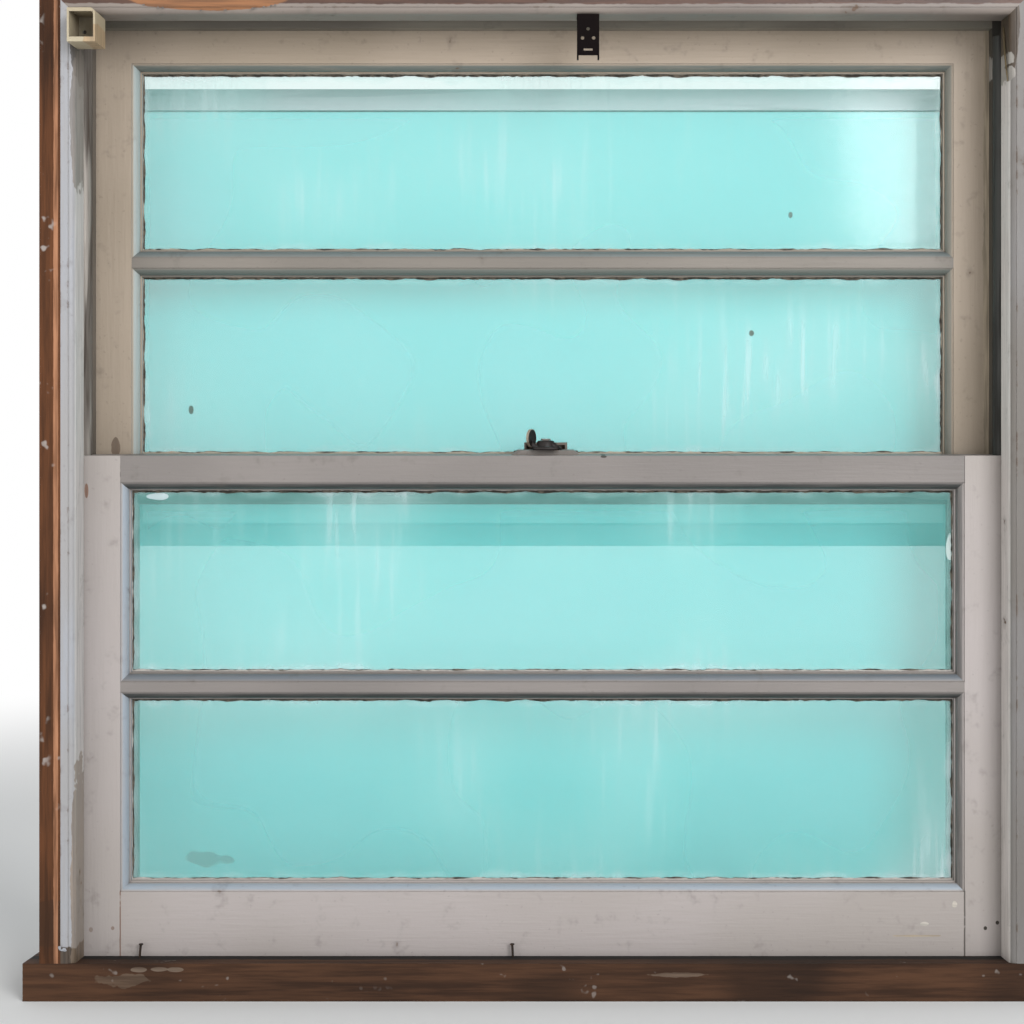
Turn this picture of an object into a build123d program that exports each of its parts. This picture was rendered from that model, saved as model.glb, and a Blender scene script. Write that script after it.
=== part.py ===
from build123d import *
import os
from math import radians, tan

# Wooden double-hung sash window with its frame, seen from the room.
# Millimetres. X runs across the window, Y from the room to the outside, Z up.
# The origin is on the underside of the sill, in the middle of the width,
# below the room face of the lower sash.

# Opening between the jambs, and above the sill at the face of the lower sash
opening_width = 864.0
opening_height = 868.0

# Sashes
sash_thickness = 35.0
stile_width = 52.2
top_rail_height = 49.3
check_rail_height = 32.1
bottom_rail_height = 66.5
muntin_width = 24.9
sash_side_gap = 1.6
sash_head_gap = 2.0
sash_seat_gap = 0.3
running_gap = 0.8
sash_travel = 380.0

# Moulded edge round each light, called the sticking
sticking_width = 7.9
sticking_depth = 14.5
quirk_depth = 1.3
quirk_width = 0.9
fillet_width = 1.5
fillet_depth = 9.6

# Joints of the sash pieces
tenon_length = 26.0
tenon_thickness = 11.0
tenon_shoulder = 6.0
tenon_gap = 0.2
muntin_tenon_length = 12.0

# Meeting bevel between the two check rails, measured behind the lower sash
meeting_top = 9.0
meeting_bottom = 4.0
meeting_gap = 0.6
meeting_end_gap = 1.5

# Glass and putty
glass_thickness = 3.0
glass_edge_gap = 1.2
putty_height = 15.0
putty_sight_gap = 0.6
putty_edge_gap = 0.05

# Frame
jamb_thickness = 19.0
housing_depth = 6.4
stop_projection = 12.7
stop_depth = 35.0
stop_flat = 6.6
stop_quirk = 1.0
parting_depth = 12.7
parting_projection = 12.7
parting_groove = 6.3
blind_depth = 19.0
blind_projection = 12.7
sill_edge_height = 34.0
sill_slope = 6.0
sill_horn = 15.0
sill_nose = 46.0
sill_nose_radius = 3.0
drip_width = 5.0
drip_depth = 4.0
drip_inset = 14.0

# Tube balances that carry the sashes
tube_radius = 8.0
tube_wall = 1.0
tube_jamb_gap = 0.3
tube_plug = 6.0
tab_height = 22.0
tab_width = 12.0
tab_thickness = 1.5
tube_head_gap = 2.0
tube_groove_gap = 1.0
strip_width = 5.0
strip_thickness = 1.5
rod_overlap = 20.0
rod_end_gap = 2.0
foot_height = 4.0
foot_lift = 1.0
foot_wall_gap = 0.5

# Aluminium storm window on the outside
storm_wall = 1.5
storm_track = 11.4
storm_lap = 7.5
storm_web_inset = 5.8
storm_flange = 24.0
storm_sill_rise = 8.0
insert_face = 20.5
insert_depth = 10.0
insert_wall = 1.3
insert_side_gap = 0.7
insert_seat_gap = 0.3
insert_groove_depth = 6.5
insert_groove_width = 3.2
storm_glass_thickness = 2.4
storm_glass_bite = 5.5
storm_meeting_drop = 29.0
storm_meeting_lap = 4.5
storm_upper_drop = 38.0
pull_length = 84.0
pull_height = 13.5
pull_depth = 4.5
pull_offset = 9.0

# Sash lock on the lower check rail and its keeper on the upper one
lock_length = 64.0
lock_width = 27.0
lock_thickness = 4.5
lock_edge_gap = 1.2
lock_bevel = 6.0
lock_corner = 2.5
lock_x = 3.0
lock_screw_spacing = 46.0
screw_radius = 2.0
screw_head_radius = 3.6
screw_head_height = 1.6
screw_sunk = 2.2
screw_length = 14.0
screw_hole_gap = 0.15
pivot_back = 17.0
pivot_radius = 3.0
pivot_fit = 0.05
pivot_head_radius = 4.6
pivot_head_height = 1.4
lever_lift = 0.3
hub_radius = 9.5
hub_height = 8.4
cam_reach = 21.7
cam_thickness = 3.0
cam_half_angle = 34.0
tab_lever_x = 16.0
tab_lever_thickness = 3.4
tab_lever_width = 15.0
tab_lever_height = 18.5
arm_width = 9.0
arm_height = 4.0
keeper_length = 60.0
keeper_width = 18.6
keeper_base = 3.0
keeper_edge_gap = 0.3
mouth_width = 36.0
mouth_depth = 8.0
mouth_clearance = 0.8
keeper_wall = 2.2
keeper_screw_spacing = 50.0

# Open box bracket at the top left corner and flat bracket below the head stop, both for a blind
box_width = 25.0
box_height = 30.0
box_depth = 40.0
box_back = 11.0
box_wall = 1.8
box_top_lip = 3.2
box_bottom_lip = 4.2
box_corner = 3.5
box_hole_radius = 1.9
box_hole_spacing = 11.5
bracket_width = 20.0
bracket_length = 37.0
bracket_thickness = 1.5
bracket_x = 41.0
bracket_tab = 22.0
bracket_setback = 1.5
bracket_ear_height = 9.0
bracket_ear_depth = 4.0
bracket_hole_radius = 1.6
bracket_slot_length = 8.0
bracket_screw_bite = 10.0

# Places that follow from the sizes above
frame_front = -(running_gap + stop_depth)
parting_front = sash_thickness + running_gap
parting_back = parting_front + parting_depth
upper_face = parting_back + running_gap
frame_back = upper_face + sash_thickness + running_gap
blind_back = frame_back + blind_depth
half_opening = opening_width / 2
half_frame = half_opening + jamb_thickness
slope = tan(radians(sill_slope))


def sill_level(y):
    """Height of the sloping top of the sill at depth y."""
    return sill_edge_height - (y - frame_front) * slope


lower_bottom = sill_level(0) + sash_seat_gap
head_level = sill_level(0) + opening_height
light_height = (
    opening_height - sash_seat_gap - sash_head_gap - bottom_rail_height
    - check_rail_height - top_rail_height - 2 * muntin_width
) / 4
lower_height = bottom_rail_height + 2 * light_height + muntin_width + check_rail_height
upper_height = check_rail_height + 2 * light_height + muntin_width + top_rail_height
lower_top = lower_bottom + lower_height
upper_bottom = head_level - sash_head_gap - upper_height
half_sash = half_opening - sash_side_gap
stile_face = stile_width - sticking_width
half_face = half_sash - stile_face
half_light = half_face - sticking_width
muntin_face = muntin_width - 2 * sticking_width


# Simple shapes

def block(x, y, z):
    """Block that spans three pairs of low and high values."""
    size = [high - low for low, high in (x, y, z)]
    return Pos(x[0], y[0], z[0]) * Box(*size, align=(Align.MIN, Align.MIN, Align.MIN))


def upright(points, z):
    """Outline in X and Y, drawn up from z[0] to z[1]."""
    return Pos(0, 0, z[0]) * extrude(make_face(Polyline(*points, close=True)), amount=z[1] - z[0])


def lengthwise(points, x):
    """Outline in Y and Z, drawn along X from x[0] to x[1]."""
    face = Plane.YZ.offset(x[0]) * make_face(Polyline(*points, close=True))
    return extrude(face, amount=x[1] - x[0])


def rod(radius, centre, z):
    """Upright cylinder on the centre (x, y)."""
    return Pos(centre[0], centre[1], z[0]) * Cylinder(
        radius, z[1] - z[0], align=(Align.CENTER, Align.CENTER, Align.MIN)
    )


def below_sill(gap=0.0):
    """Everything lower than the sill's sloping top, raised by a gap."""
    near, far = frame_front - 50, blind_back + 200
    deep = -100.0
    points = [(near, deep), (far, deep), (far, sill_level(far) + gap), (near, sill_level(near) + gap)]
    return lengthwise(points, (-2 * half_frame, 2 * half_frame))


def mirrored(solid):
    """The same piece for the other side of the window."""
    return mirror(solid, about=Plane.YZ)


# Frame

def sill():
    """Sloped sill with horns past the jambs, a rounded nose and a drip groove."""
    nose = blind_back + sill_nose
    level = sill_level(nose)
    half = half_frame + sill_horn
    points = [(frame_front, 0), (nose, 0), (nose, level), (frame_front, sill_edge_height)]
    body = lengthwise(points, (-half, half))
    top_edge = body.edges().filter_by(Axis.X).sort_by(Axis.Y)[-2:].sort_by(Axis.Z)[-1]
    body = fillet(top_edge, sill_nose_radius)
    drip = (nose - drip_inset - drip_width, nose - drip_inset)
    return body - block((-half, half), drip, (0, drip_depth))


def left_jamb():
    """Side jamb with a groove for the parting stop and a housing for the head."""
    body = block((-half_frame, -half_opening), (frame_front, frame_back),
                 (0, head_level + jamb_thickness))
    groove = block((-half_opening - parting_groove, -half_opening), (parting_front, parting_back),
                   (0, head_level))
    housing = block((-half_opening - housing_depth, -half_opening), (frame_front, frame_back),
                    (head_level, head_level + jamb_thickness))
    return body - groove - housing - below_sill()


def head_jamb():
    """Head jamb, housed in the side jambs, with its own parting groove."""
    half = half_opening + housing_depth
    body = block((-half, half), (frame_front, frame_back),
                 (head_level, head_level + jamb_thickness))
    return body - block((-half, half), (parting_front, parting_back),
                        (head_level, head_level + parting_groove))


def stop_outline():
    """Section of the room-side stop: width from the jamb and depth, with an ovolo edge."""
    back = frame_front + stop_depth
    turn = (stop_flat, frame_front + stop_quirk)
    radius = stop_projection - stop_flat
    far = (stop_projection, turn[1] + radius)
    start = Polyline((0, back), (0, frame_front), (stop_flat, frame_front), turn)
    curve = RadiusArc(turn, far, -radius)
    end = Polyline(far, (stop_projection, back), (0, back))
    return make_face(start + curve + end)


def mitre_wedge():
    """Cuts the left stop at 45 degrees where it meets the head stop."""
    reach = 40.0
    points = [(-half_opening, head_level), (-half_opening + reach, head_level),
              (-half_opening + reach, head_level - reach)]
    face = Plane.XZ.offset(-frame_front + reach) * make_face(Polyline(*points, close=True))
    return extrude(face, amount=-(stop_depth + 2 * reach))


def left_stop():
    """Room-side stop on the left jamb."""
    body = Pos(-half_opening, 0, 0) * extrude(stop_outline(), amount=head_level)
    return body - mitre_wedge() - below_sill()


def head_stop():
    """Room-side stop under the head, mitred to the side stops, with a hole for a screw."""
    plane = Plane(origin=(0, 0, head_level), x_dir=(0, 0, -1), z_dir=(1, 0, 0))
    body = extrude(plane * stop_outline(), amount=half_opening, both=True)
    low = head_level - stop_projection
    short = half_opening - stop_projection
    outline = Polyline((-half_opening, head_level), (half_opening, head_level), (short, low),
                       (-short, low), close=True)
    face = Plane.XZ.offset(-frame_front) * make_face(outline)
    body &= extrude(face, amount=-stop_depth)
    return body - rod(screw_radius + screw_hole_gap, bracket_screw_place(),
                      (low, low + bracket_screw_bite))


def left_parting_stop():
    """Parting stop in the groove of the left jamb, between the two sashes."""
    x = (-half_opening - parting_groove, -half_opening + parting_projection)
    return block(x, (parting_front, parting_back), (0, head_level)) - below_sill()


def head_parting_stop():
    """Parting stop in the head's groove, between the side ones."""
    half = half_opening - parting_projection
    return block((-half, half), (parting_front, parting_back),
                 (head_level - parting_projection, head_level + parting_groove))


def left_blind_stop():
    """Outer stop on the edge of the left jamb."""
    x = (-half_frame, -half_opening + blind_projection)
    return block(x, (frame_back, blind_back), (0, head_level - blind_projection)) - below_sill()


def head_blind_stop():
    """Outer stop across the head."""
    return block((-half_frame, half_frame), (frame_back, blind_back),
                 (head_level - blind_projection, head_level + jamb_thickness))


def corner_block():
    """Small box bracket in the top left corner: open to the room, lipped above and below."""
    x = (-half_opening + stop_projection, -half_opening + stop_projection + box_width)
    z = (head_level - stop_projection - box_height, head_level - stop_projection)
    back = frame_front + box_back
    y = (back - box_depth, back)
    body = block(x, y, z)
    corner = body.edges().filter_by(Axis.Y).sort_by(Axis.X)[-2:].sort_by(Axis.Z)[-1]
    body = chamfer(corner, box_corner)
    inside = (x[0] + box_wall, x[1] - box_wall)
    hollow = block(inside, (y[0] + box_wall, y[1] - box_wall), (z[0] + box_wall, z[1] - box_wall))
    corner = hollow.edges().filter_by(Axis.Y).sort_by(Axis.X)[-2:].sort_by(Axis.Z)[-1]
    body -= chamfer(corner, box_corner)
    body -= block(inside, (y[0] - 1, y[0] + box_wall), (z[0] + box_bottom_lip, z[1] - box_top_lip))
    centre = ((x[0] + x[1]) / 2, back, (z[0] + z[1]) / 2)
    for side in (-1, 1):
        hole = Rot(90, 0, 0) * Cylinder(box_hole_radius, 4 * box_wall)
        body -= Pos(centre[0] + side * box_hole_spacing / 2, centre[1], centre[2]) * hole
    return body


def bracket_screw_place():
    """Centre of the screw that holds the bracket, in X and Y."""
    return (bracket_x, frame_front + bracket_setback + bracket_thickness + bracket_tab / 2)


def head_bracket():
    """Pressed steel bracket: a tab under the head stop and a plate that hangs from it."""
    top = head_level - stop_projection
    x = (bracket_x - bracket_width / 2, bracket_x + bracket_width / 2)
    front = frame_front + bracket_setback
    y = (front, front + bracket_thickness)
    low = top - bracket_length
    plate = block(x, y, (low, top))
    tab = block(x, (front, front + bracket_tab), (top - bracket_thickness, top))
    ears = block(x, (front, front + bracket_ear_depth), (low - 4, low + bracket_ear_height))
    ears -= block((x[0] + bracket_thickness, x[1] - bracket_thickness), (front - 1, front + 20),
                  (low - 5, low + bracket_ear_height + 1))
    body = plate + tab + ears
    places = [(0, 0.36), (-5, 0.58), (5, 0.58)]
    for shift, share in places:
        hole = Rot(90, 0, 0) * Cylinder(bracket_hole_radius, 20)
        body -= Pos(bracket_x + shift, front, top - share * bracket_length) * hole
    half_slot = bracket_slot_length / 2
    level = top - 0.86 * bracket_length
    body -= block((bracket_x - half_slot, bracket_x + half_slot), (front - 1, front + 10),
                  (level - 1, level + 1))
    return body - rod(screw_radius + screw_hole_gap, bracket_screw_place(), (top - 10, top + 1))


def bracket_screws():
    """Round-headed screw up through the bracket's tab into the head stop."""
    top = head_level - stop_projection
    under = top - bracket_thickness
    centre = bracket_screw_place()
    head = rod(screw_head_radius, centre, (under - screw_head_height, under))
    return head + rod(screw_radius, centre, (under, top + bracket_screw_bite))


# Sashes

def sticking(length):
    """Moulded strip with mitred ends: X towards the light, Y depth, Z along the strip."""
    far = sticking_width
    start = Polyline((0, sticking_depth), (0, quirk_depth), (quirk_width, quirk_depth))
    curve_end = (far - fillet_width, fillet_depth)
    bulge = (quirk_width + 0.72 * (curve_end[0] - quirk_width),
             quirk_depth + 0.28 * (curve_end[1] - quirk_depth))
    curve = ThreePointArc((quirk_width, quirk_depth), bulge, curve_end)
    end = Polyline(curve_end, (far, fillet_depth), (far, sticking_depth), (0, sticking_depth))
    half = length / 2 + sticking_width
    strip = extrude(make_face(start + curve + end), amount=half, both=True)
    outline = Polyline((0, -half), (far, -length / 2), (far, length / 2), (0, half), close=True)
    trapezium = extrude(Plane.XZ * make_face(outline), amount=-2 * sticking_depth)
    return strip & trapezium


def placed_sticking(length, origin, towards):
    """Sticking that grows from origin in the direction towards, with its depth along Y."""
    across = Vector(*towards).cross(Vector(0, 1, 0))
    return Plane(origin=origin, x_dir=towards, z_dir=across) * sticking(length)


def sash_levels(bottom_member):
    """Heights of the two lights above the bottom of a sash, as (low, high) pairs."""
    first = (bottom_member, bottom_member + light_height)
    low = first[1] + muntin_width
    return [first, (low, low + light_height)]


def tenon(z, length=tenon_length, gap=0.0):
    """Pair of tenons at both ends of a rail, or their mortises when a gap is given."""
    middle = sash_thickness / 2
    y = (middle - tenon_thickness / 2 - gap, middle + tenon_thickness / 2 + gap)
    x = (half_face, half_face + length + gap)
    right = block(x, y, (z[0] - gap, z[1] + gap))
    return right + mirrored(right)


def rail_spans(bottom_member, top_member, height):
    """Heights of the tenons of the bottom rail, muntin and top rail."""
    lights = sash_levels(bottom_member)
    bottom = (tenon_shoulder, bottom_member - sticking_width - 2)
    muntin = (lights[0][1] + sticking_width, lights[1][0] - sticking_width)
    top = (height - top_member + sticking_width + 2, height - tenon_shoulder)
    return bottom, muntin, top


def left_stile(bottom_member, top_member, height, lengthened=0.0, plain_bottom=False):
    """Left stile of a sash: groove for the balance, mortises and sticking.

    Above a bottom rail with no sticking of its own, the stile's is cut off square.
    """
    body = block((-half_sash, -half_face), (0, sash_thickness), (-lengthened, height))
    middle = sash_thickness / 2
    groove_half = tube_radius + tube_groove_gap
    bottom, muntin, top = rail_spans(bottom_member, top_member, height)
    body -= block((-half_sash, groove_floor()), (middle - groove_half, middle + groove_half),
                  (-lengthened, height))
    for z in (bottom, top):
        body -= tenon(z, gap=tenon_gap)
    body -= tenon(muntin, muntin_tenon_length, tenon_gap)
    for low, high in sash_levels(bottom_member):
        strip = placed_sticking(high - low, (-half_face, 0, (low + high) / 2), (1, 0, 0))
        if plain_bottom and low == bottom_member:
            strip -= block((-half_sash, 0), (-1, sash_thickness), (0, low))
        body += strip
    return body


def groove_floor():
    """Position in X of the bottom of the left stile's groove."""
    return -half_opening + tube_jamb_gap + 2 * tube_radius + tube_groove_gap


def rail(z, span, tenon_size, strips, lengthened=0.0):
    """Rail between the stiles, from span[0] to span[1], with tenons and sticking."""
    body = block((-half_face, half_face), (0, sash_thickness), (span[0] - lengthened, span[1]))
    body += tenon(z, tenon_size)
    for level, way in strips:
        body += placed_sticking(2 * half_light, (0, 0, level), (0, 0, way))
    return body


def meeting_line(drop, gap):
    """Depth behind the lower sash of the meeting bevel, at a drop below the top of the rails."""
    return meeting_top + gap - (meeting_top - meeting_bottom) * drop / check_rail_height


def meeting_tongue(face, z, gap, top, shift):
    """Bevelled part of a check rail that stands into the space between the parting stops."""
    half = half_opening - parting_projection - meeting_end_gap
    edge = [(meeting_line(top - level, gap) + shift, level) for level in z]
    return lengthwise([(face, z[0]), *edge, (face, z[1])], (-half, half))


def glass(low, high):
    """Pane behind the sticking of one light."""
    half = half_face - glass_edge_gap
    edge = sticking_width - glass_edge_gap
    y = (sticking_depth, sticking_depth + glass_thickness)
    return block((-half, half), y, (low - edge, high + edge))


def putty(lights):
    """Bevelled putty round both panes, on the outside of the glass."""
    start = sticking_depth + glass_thickness
    rings = []
    for low, high in lights:
        middle = (low + high) / 2
        reach = sticking_width - putty_edge_gap
        outer = (2 * (half_light + reach), high - low + 2 * reach)
        inner = (2 * (half_light + putty_sight_gap), high - low + 2 * putty_sight_gap)
        ring = block((-outer[0] / 2, outer[0] / 2), (start, start + putty_height),
                     (middle - outer[1] / 2, middle + outer[1] / 2))
        near = Plane.XZ.offset(-start) * Pos(0, middle) * Rectangle(*inner)
        far = Plane.XZ.offset(-start - putty_height) * Pos(0, middle) * Rectangle(*outer)
        rings.append(ring - loft([near.face(), far.face()]))
    return Part() + rings


def lower_sash():
    """Pieces of the lower sash, at their place."""
    height, below = lower_height, sash_thickness * slope + 1
    bottom, muntin, top = rail_spans(bottom_rail_height, check_rail_height, height)
    lights = sash_levels(bottom_rail_height)
    face_top = bottom_rail_height - sticking_width
    face_low = height - check_rail_height + sticking_width
    stile = left_stile(bottom_rail_height, check_rail_height, height, below)
    check = rail(top, (face_low, height), tenon_length, [(face_low, -1)])
    check += meeting_tongue(sash_thickness, (face_low, height), -meeting_gap / 2, height, sash_thickness)
    check -= pilot_holes(lock_screw_places(), height + lock_thickness)
    pieces = {
        "lower_stile_left": stile,
        "lower_stile_right": mirrored(stile),
        "lower_check_rail": check,
        "lower_muntin": rail(muntin, muntin, muntin_tenon_length, [(muntin[0], -1), (muntin[1], 1)]),
        "lower_bottom_rail": rail(bottom, (0, face_top), tenon_length, [(face_top, 1)], below),
        "lower_glass_bottom": glass(*lights[0]),
        "lower_glass_top": glass(*lights[1]),
        "lower_putty": putty(lights),
    }
    place = Pos(0, 0, lower_bottom)
    pieces = {name: place * piece for name, piece in pieces.items()}
    for name in ("lower_stile_left", "lower_stile_right", "lower_bottom_rail"):
        pieces[name] -= below_sill(sash_seat_gap)
    return pieces


def upper_sash():
    """Pieces of the upper sash, at their place."""
    height = upper_height
    bottom, muntin, top = rail_spans(check_rail_height, top_rail_height, height)
    lights = sash_levels(check_rail_height)
    face_top = check_rail_height - sticking_width
    face_low = height - top_rail_height + sticking_width
    stile = left_stile(check_rail_height, top_rail_height, height, plain_bottom=True)
    check = rail(bottom, (0, face_top), tenon_length, [])
    check += block((-half_face, half_face), (0, sticking_depth), (face_top, check_rail_height))
    check += meeting_tongue(0, (0, check_rail_height), meeting_gap / 2, check_rail_height,
                            sash_thickness - upper_face)
    places = [(x, y - upper_face) for x, y in keeper_screw_places()]
    check -= pilot_holes(places, check_rail_height + keeper_base)
    pieces = {
        "upper_stile_left": stile,
        "upper_stile_right": mirrored(stile),
        "upper_check_rail": check,
        "upper_muntin": rail(muntin, muntin, muntin_tenon_length, [(muntin[0], -1), (muntin[1], 1)]),
        "upper_top_rail": rail(top, (face_low, height), tenon_length, [(face_low, -1)]),
        "upper_glass_bottom": glass(*lights[0]),
        "upper_glass_top": glass(*lights[1]),
        "upper_putty": putty(lights),
    }
    place = Pos(0, upper_face, upper_bottom)
    return {name: place * piece for name, piece in pieces.items()}


# Balances

def balance_centre(face):
    """Centre of the left balance of the sash whose room face is at depth face."""
    return (-half_opening + tube_jamb_gap + tube_radius, face + sash_thickness / 2)


def tube_levels():
    """Bottom and top of a balance tube."""
    top = head_level - tube_head_gap - tab_height
    return top - tube_plug - rod_end_gap - sash_travel - rod_overlap, top


def left_tube(face):
    """Tube of a balance with a plug and a nailing tab against the jamb at its top."""
    centre = balance_centre(face)
    low, high = tube_levels()
    body = rod(tube_radius, centre, (low, high))
    body -= rod(tube_radius - tube_wall, centre, (low, high - tube_plug))
    half = tab_width / 2
    x = (-half_opening, -half_opening + tube_jamb_gap + tab_thickness)
    tab = block(x, (centre[1] - half, centre[1] + half), (high - tube_plug, high + tab_height))
    return body + tab


def left_rod(face, sash_bottom, top):
    """Flat strip of a balance with the foot that holds it in the stile's groove."""
    centre = balance_centre(face)
    half = tube_radius + tube_groove_gap - foot_wall_gap
    low = sash_bottom + foot_lift
    foot = block((centre[0] - half / 2, groove_floor()), (centre[1] - half, centre[1] + half),
                 (low, low + foot_height))
    return foot + block((centre[0] - strip_width / 2, centre[0] + strip_width / 2),
                        (centre[1] - strip_thickness / 2, centre[1] + strip_thickness / 2), (low, top))


def balances():
    """Tubes on the jambs and rods on the sashes, at both sides."""
    low, high = tube_levels()
    lower_rod_top = low + rod_overlap
    upper_rod_top = high - tube_plug - rod_end_gap
    pieces = {
        "balance_tube_lower_left": left_tube(0),
        "balance_tube_upper_left": left_tube(upper_face),
        "balance_rod_lower_left": left_rod(0, lower_bottom, lower_rod_top),
        "balance_rod_upper_left": left_rod(upper_face, upper_bottom, upper_rod_top),
    }
    for name in list(pieces):
        pieces[name.replace("left", "right")] = mirrored(pieces[name])
    return pieces


# Sash lock

pivot_y = sash_thickness + meeting_top - meeting_gap / 2 - pivot_back
lock_top = lower_top + lock_thickness


def screw(centre, top, gap=0.0):
    """Screw with its head sunk flush at height top, or its hole when a gap is given."""
    under = top - screw_sunk
    head = rod(screw_head_radius + gap, centre, (under, top))
    return head + rod(screw_radius + gap, centre, (top - screw_length, under))


def lock_screw_places():
    """Centres of the screws through the lock's base."""
    return [(lock_x + side * lock_screw_spacing / 2, pivot_y) for side in (-1, 1)]


def lock_base():
    """Base plate of the lock with sloped ends, screw holes and a fixed pivot."""
    back = sash_thickness + meeting_top - meeting_gap / 2 - lock_edge_gap
    y = (back - lock_width, back)
    half = lock_length / 2
    outline = [(-half, 0), (half, 0), (half - lock_bevel, lock_thickness),
               (-half + lock_bevel, lock_thickness)]
    face = Plane.XZ.offset(-y[0]) * make_face(Polyline(*outline, close=True))
    body = Pos(lock_x, 0, lower_top) * extrude(face, amount=-lock_width)
    corners = body.edges().filter_by(lambda edge: abs(edge.tangent_at(0.5).Y) < 0.1
                                     and abs(edge.tangent_at(0.5).Z) > 0.1)
    body = chamfer(corners, lock_corner)
    body -= screw_holes(lock_screw_places(), lock_top)
    centre = (lock_x, pivot_y)
    pin_top = lock_top + lever_lift + hub_height + lever_lift
    body += rod(pivot_radius, centre, (lock_top - 1, pin_top))
    return body + rod(pivot_head_radius, centre, (pin_top, pin_top + pivot_head_height))


def lock_lever():
    """Lever of the lock: hub, cam towards the room, arm and upright finger tab to the left."""
    centre = (lock_x, pivot_y)
    low = lock_top + lever_lift
    hub = rod(hub_radius, centre, (low, low + hub_height))
    start = tan(radians(cam_half_angle))
    sector = [(0, 0), (-start * 40, -40), (start * 40, -40)]
    wedge = upright(sector, (0, cam_thickness))
    cam = rod(cam_reach, (0, 0), (0, cam_thickness)) & wedge
    body = hub + Pos(*centre, low) * cam
    x = (lock_x - tab_lever_x - tab_lever_thickness, lock_x)
    half = arm_width / 2
    body += block(x, (pivot_y - half, pivot_y + half), (low, low + arm_height))
    radius = tab_lever_width / 2
    disc = Rot(0, 90, 0) * Cylinder(radius, tab_lever_thickness,
                                    align=(Align.CENTER, Align.CENTER, Align.MIN))
    body += Pos(x[0], pivot_y, low + tab_lever_height - radius) * disc
    neck = 0.55 * arm_width
    body += block((x[0], x[0] + tab_lever_thickness), (pivot_y - neck, pivot_y + neck),
                  (low, low + tab_lever_height - radius))
    return body - rod(pivot_radius + pivot_fit, centre, (low - 1, low + hub_height + 1))


def keeper_screw_places():
    """Centres of the screws through the keeper's base."""
    y = keeper_front() + keeper_width * 0.55
    return [(lock_x + side * keeper_screw_spacing / 2, y) for side in (-1, 1)]


def keeper_front():
    """Depth of the keeper's room edge, at the meeting line."""
    return sash_thickness + meeting_top + meeting_gap / 2 + keeper_edge_gap


def lock_keeper():
    """Keeper on the upper check rail: a plate with a raised mouth for the cam."""
    base_level = upper_bottom + check_rail_height
    front = keeper_front()
    half = keeper_length / 2
    half_mouth = mouth_width / 2
    body = block((lock_x - half, lock_x + half), (front, front + keeper_width),
                 (base_level, base_level + keeper_base))
    floor = lock_top + lever_lift - mouth_clearance
    roof = lock_top + lever_lift + cam_thickness + mouth_clearance
    outer = (lock_x - half_mouth - keeper_wall, lock_x + half_mouth + keeper_wall)
    raised = block(outer, (front, front + mouth_depth + keeper_wall), (base_level, roof + keeper_wall))
    raised -= block((lock_x - half_mouth, lock_x + half_mouth), (front - 1, front + mouth_depth),
                    (floor, roof))
    body += raised
    return body - screw_holes(keeper_screw_places(), base_level + keeper_base)


def screw_holes(places, top):
    """Stepped holes for screws whose heads are flush with the height top."""
    return Part() + [screw(centre, top, screw_hole_gap) for centre in places]


def pilot_holes(places, top):
    """Holes in the wood for the shanks of the same screws."""
    radius = screw_radius + screw_hole_gap
    return Part() + [rod(radius, centre, (top - screw_length, top)) for centre in places]


def screws(places, top):
    """Set of like screws at one height."""
    return Compound(children=[screw(centre, top) for centre in places])


# Storm window

storm_front = blind_back
storm_back = storm_front + 3 * storm_wall + 2 * storm_track
storm_half_web = half_opening - blind_projection - storm_web_inset
storm_head_web = head_level - blind_projection - storm_web_inset
storm_sill_top = sill_level(storm_front) + storm_sill_rise
insert_half = storm_half_web - insert_side_gap


def track_outline(web):
    """Section of a track member: flange, web and two fins. X grows towards the opening."""
    inner = web + storm_lap
    fins = [storm_front + (storm_wall + storm_track) * step for step in range(3)]
    lines = make_face(Polyline((web - storm_flange, fins[0]), (inner, fins[0]),
                               (inner, fins[0] + storm_wall), (web - storm_flange, fins[0] + storm_wall),
                               close=True))
    for fin in fins[1:]:
        lines += make_face(Polyline((web - storm_wall, fin), (inner, fin), (inner, fin + storm_wall),
                                    (web - storm_wall, fin + storm_wall), close=True))
    lines += make_face(Polyline((web - storm_wall, fins[0]), (web, fins[0]), (web, storm_back),
                                (web - storm_wall, storm_back), close=True))
    return lines


def storm_frame():
    """Tracks at the sides and head, and a channel along the sill."""
    side_top = storm_head_web - storm_lap
    side = extrude(track_outline(-storm_half_web), amount=side_top)
    side -= below_sill()
    plane = Plane(origin=(0, 0, storm_head_web), x_dir=(0, 0, -1), z_dir=(1, 0, 0))
    reach = storm_half_web + storm_flange
    head = extrude(plane * track_outline(0), amount=reach, both=True)
    half = storm_half_web - storm_lap - 0.2
    channel = block((-half, half), (storm_front, storm_back), (0, storm_sill_top))
    channel -= block((-half, half), (storm_front + storm_wall, storm_back - storm_wall),
                     (0, storm_sill_top - storm_wall))
    channel -= below_sill()
    return {
        "storm_frame_left": side,
        "storm_frame_right": mirrored(side),
        "storm_frame_head": head,
        "storm_frame_sill": channel,
    }


def insert_outline():
    """Section of an insert's rail: tube with a groove for the glass. X grows to the glass."""
    half = insert_depth / 2
    groove = insert_groove_width / 2
    outer = Pos(insert_face / 2, 0) * Rectangle(insert_face, insert_depth)
    hollow_length = insert_face - insert_groove_depth - 3 * insert_wall
    hollow = Pos(insert_wall + hollow_length / 2, 0) * Rectangle(hollow_length,
                                                                 insert_depth - 2 * insert_wall)
    slot_centre = insert_face - insert_groove_depth / 2
    slot = Pos(slot_centre, 0) * Rectangle(insert_groove_depth, 2 * groove)
    return outer - hollow - slot


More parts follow.
